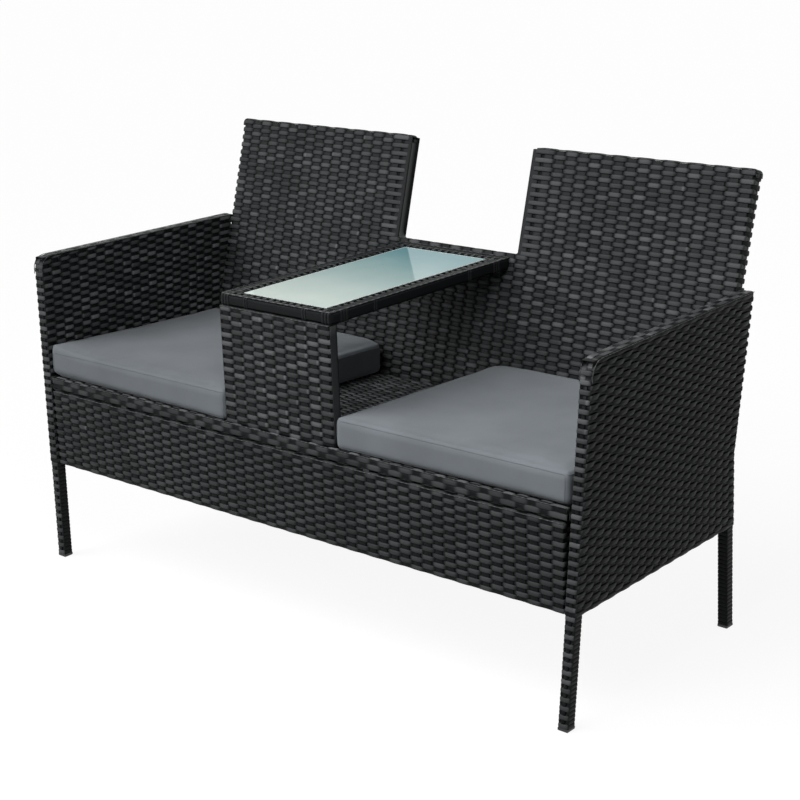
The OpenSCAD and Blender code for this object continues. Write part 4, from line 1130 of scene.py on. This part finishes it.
def wicker_material():
    """Black plastic strand, grooved, grey on the crests; painted shade makes it near black in the dips and
    darker along its side edges, and painted highlights make a few bright glints.
    """
    m, tree, shader = material("black_strand")
    uv = add_node(tree, "UVMap", uv_map="strand").outputs["UV"]
    tone = attribute(tree, "tone")
    grooves = speckle(tree, stretched(tree, uv, (12, 620, 1)), 1.0, 0.0, 1.0, 2.0)
    patches = speckle(tree, object_place(tree), 6.0, 0.0, 0.45)
    # tone carries each crest's random tone, the painted light and shade, and the painted glints
    shade = computed(tree, "ADD", patches, computed(tree, "MULTIPLY", tone, 0.6))
    shade = computed(tree, "ADD", shade, computed(tree, "MULTIPLY", grooves, 0.35))
    light = mixed(tree, shade, STRAND_DARK, STRAND_LIGHT)
    # painted highlight: tone above 1 turns the colour to a bright grey glint
    light = mixed(tree, ranged(tree, tone, 1.0, 1.7), light, PAINTED_GLINT_GREY)
    # painted shade: darker towards the strand's side edges
    light = mixed(tree, ranged(tree, attribute(tree, "edge"), 0.45, 1.0, 0.4), light, PAINTED_EDGE_SHADE)
    # painted shade: a low rise turns the colour to near black
    high = ranged(tree, attribute(tree, "rise"), 0.1, 1.0, interpolation_type="SMOOTHSTEP")
    fill(tree, shader, {
        "Base Color": mixed(tree, high, PAINTED_DIP_SHADE, light),
        "Roughness": speckle(tree, stretched(tree, uv, (60, 500, 1)), 1.0, 0.29, 0.42),
        "Specular IOR Level": 0.05,
    })
    bumped(tree, shader, grooves, 0.5, 0.3 * MM)
    return m


def metal_material(name, colour, metallic, roughness):
    """Painted or plated metal with a fine even grain."""
    m, tree, shader = material(name)
    place = object_place(tree)
    fill(tree, shader, {
        "Base Color": mixed(tree, speckle(tree, place, 90, 0, 1), tinted(colour, 0.8), colour),
        "Roughness": speckle(tree, place, 700, roughness - 0.07, roughness + 0.07),
        "Metallic": metallic,
    })
    bumped(tree, shader, speckle(tree, place, 1400, 0, 1), 0.25, 0.05 * MM)
    return m


def plastic_material(name, colour, roughness):
    """Moulded plastic with a faint cloud in its colour and a fine skin."""
    m, tree, shader = material(name)
    place = object_place(tree)
    fill(tree, shader, {
        "Base Color": mixed(tree, speckle(tree, place, 60, 0, 1), colour, tinted(colour, 1.35)),
        "Roughness": speckle(tree, place, 300, roughness - 0.06, roughness + 0.08),
    })
    bumped(tree, shader, speckle(tree, place, 2200, 0, 1), 0.2, 0.04 * MM)
    return m


def glass_material():
    """Frosted glass, pale green at the front, with painted shade making it bluer and darker towards the back.
    """
    m, tree, shader = material("frosted_glass")
    place = object_place(tree)
    depth = add_node(tree, "SeparateXYZ", {"Vector": place}).outputs["Y"]
    # painted shade: the colour darkens from front to back along the glass
    tint = computed(tree, "ADD", ranged(tree, depth, -0.22, 0.16), speckle(tree, place, 5.0, -0.1, 0.1))
    fill(tree, shader, {
        "Base Color": mixed(tree, tint, GLASS_FRONT, GLASS_BACK_PAINTED_SHADE),
        "Roughness": speckle(tree, place, 400, 0.05, 0.09),
        "IOR": 1.52,
        "Specular IOR Level": 0.06,
        "Transmission Weight": 0.08,
    })
    return m


def fabric_material(name, colour, thread=0.7 * MM):
    """Plain woven cloth, with its threads as two crossed waves."""
    m, tree, shader = material(name)
    place = object_place(tree)
    waves = [add_node(tree, "TexWave", {"Vector": place, "Scale": 0.31416 / thread / 2, "Distortion": 1.2,
                                        "Detail": 1.0}, bands_direction=direction).outputs["Fac"]
             for direction in ("X", "Y")]
    fill(tree, shader, {
        "Base Color": mixed(tree, speckle(tree, place, 9, 0.0, 1.0, 4.0), tinted(colour, 0.90),
                            tinted(colour, 1.10)),
        "Roughness": 0.85,
        "Sheen Weight": 0.15,
        "Sheen Roughness": 0.5,
        "Specular IOR Level": 0.2,
    })
    bumped(tree, shader, computed(tree, "ADD", *waves), 0.3, 0.15 * MM)
    return m


STRAND = wicker_material()
GLASS_EDGE = plastic_material("ground_glass", (0.62, 0.70, 0.67), 0.35)
FABRIC = fabric_material("grey_cloth", (0.156, 0.172, 0.188))
SEAM = fabric_material("seam_thread", (0.143, 0.157, 0.172), 0.5 * MM)

SLOT_PAINT = {
    "frame_steel": metal_material("black_powder_coat", (0.024, 0.025, 0.027), 0.0, 0.45),
    "wicker": STRAND,
    "foot_plastic": plastic_material("foot_plastic", (0.010, 0.010, 0.011), 0.5),
    "zinc": metal_material("zinc_plate", (0.42, 0.43, 0.44), 1.0, 0.34),
    "spacer_nylon": plastic_material("black_nylon", (0.012, 0.012, 0.013), 0.42),
    "glass": glass_material(),
    "clear_pad": plastic_material("clear_pad", (0.75, 0.77, 0.77), 0.3),
    "cushion_fabric": FABRIC,
    "cushion_foam": fabric_material("foam", (0.62, 0.58, 0.46), 2 * MM),
    "zip": plastic_material("zip_nylon", (0.05, 0.055, 0.06), 0.6),
}
for entry in frame["record"]["subparts"]:
    slots = frame["nodes"][entry["node"]].data.materials
    slots.clear()
    slots.append(SLOT_PAINT[entry["material_slot"]])

# ---------------------------------------------------------------- building
build_back()
for mirrored in (False, True):
    build_side(mirrored)
    build_leg_wraps(mirrored)
build_seat()
build_apron()
build_table_panel()
build_rim()
build_glass_edge()
build_cushions()


# ---------------------------------------------------------------- stage, light and camera
CAMERA_PLACE = (2.1516, -2.4210, 1.3802)
CAMERA_ANGLES = (41.143, 17.307, -1.963)
CAMERA_FOCAL = 1777.44
CAMERA_CENTRE = (398.2, 400.4)
FRAME_PX = 800


def background_rays(tree):
    """1 for the rays of the camera, gloss and glass, which see the white background."""
    rays = add_node(tree, "LightPath").outputs
    seen = computed(tree, "MAXIMUM", rays["Is Camera Ray"], rays["Is Transmission Ray"])
    return computed(tree, "MAXIMUM", seen, rays["Is Glossy Ray"])


def make_floor():
    """A pale floor that shows white and keeps the bench's soft shadow."""
    bpy.ops.mesh.primitive_plane_add(size=30, location=(0, 0, 0))
    floor = bpy.context.object
    floor.name = "floor"
    m = bpy.data.materials.new("floor_white")
    m.use_nodes = True
    tree = m.node_tree
    tree.nodes.clear()
    diffuse = add_node(tree, "BsdfDiffuse", {"Color": (0.12, 0.12, 0.12)})
    glow = add_node(tree, "Emission", {"Strength": computed(tree, "MULTIPLY", background_rays(tree), 0.91)})
    both = add_node(tree, "AddShader", {0: diffuse.outputs["BSDF"], 1: glow.outputs["Emission"]})
    add_node(tree, "OutputMaterial", {"Surface": both.outputs["Shader"]})
    floor.data.materials.append(m)


def make_world():
    """Weak even light, seen as plain white in the background."""
    world = bpy.data.worlds.new("studio")
    bpy.context.scene.world = world
    world.use_nodes = True
    tree = world.node_tree
    tree.nodes.clear()
    ambient = add_node(tree, "Background", {"Color": (0.96, 0.98, 1), "Strength": 0.15})
    white = add_node(tree, "Background", {"Color": (1, 1, 1), "Strength": 1.0})
    mix = add_node(tree, "MixShader", {"Fac": background_rays(tree), 1: ambient.outputs["Background"],
                                       2: white.outputs["Background"]})
    add_node(tree, "OutputWorld", {"Surface": mix.outputs["Shader"]})


def add_sun(name, towards, strength, angle):
    lamp = bpy.data.lights.new(name, "SUN")
    lamp.energy = strength
    lamp.angle = math.radians(angle)
    placed(name, lamp).rotation_euler = Vector(towards).to_track_quat("Z", "Y").to_euler()


def add_softbox(name, location, target, size, power):
    lamp = bpy.data.lights.new(name, "AREA")
    lamp.shape = "RECTANGLE"
    lamp.size, lamp.size_y = size
    lamp.energy = power
    obj = placed(name, lamp)
    obj.location = location
    obj.rotation_euler = (Vector(target) - Vector(location)).to_track_quat("-Z", "Y").to_euler()


def make_camera():
    """The photograph's view."""
    azimuth, elevation, roll = map(math.radians, CAMERA_ANGLES)
    back = Vector((math.sin(azimuth) * math.cos(elevation), -math.cos(azimuth) * math.cos(elevation),
                   math.sin(elevation)))
    right = (-back).cross(Vector(UP)).normalized()
    up = right.cross(-back)
    c, s = math.cos(roll), math.sin(roll)
    right, up = c * right + s * up, -s * right + c * up
    camera = bpy.data.cameras.new("camera")
    camera.sensor_width = 36
    camera.lens = CAMERA_FOCAL / FRAME_PX * camera.sensor_width
    camera.shift_x = (FRAME_PX / 2 - CAMERA_CENTRE[0]) / FRAME_PX
    camera.shift_y = (CAMERA_CENTRE[1] - FRAME_PX / 2) / FRAME_PX
    camera.clip_start, camera.clip_end = 0.05, 100
    obj = placed("camera", camera)
    obj.matrix_world = Matrix.Translation(CAMERA_PLACE) @ Matrix((right, up, back)).transposed().to_4x4()
    bpy.context.scene.camera = obj


make_floor()
make_world()
add_sun("key", towards=(-0.42, -0.50, 0.76), strength=1.8, angle=45)
add_sun("fill", towards=(0.72, -0.48, 0.50), strength=0.22, angle=60)
add_softbox("front", (-1.41, -1.80, 1.05), target=(0.2, 0.2, 0.6), size=(1.0, 0.8), power=10)
add_softbox("above", (0.60, -1.00, 1.55), target=(0.3, 0.1, 0.5), size=(0.6, 0.6), power=11.5)
make_camera()
bpy.context.scene.view_settings.view_transform = "Standard"
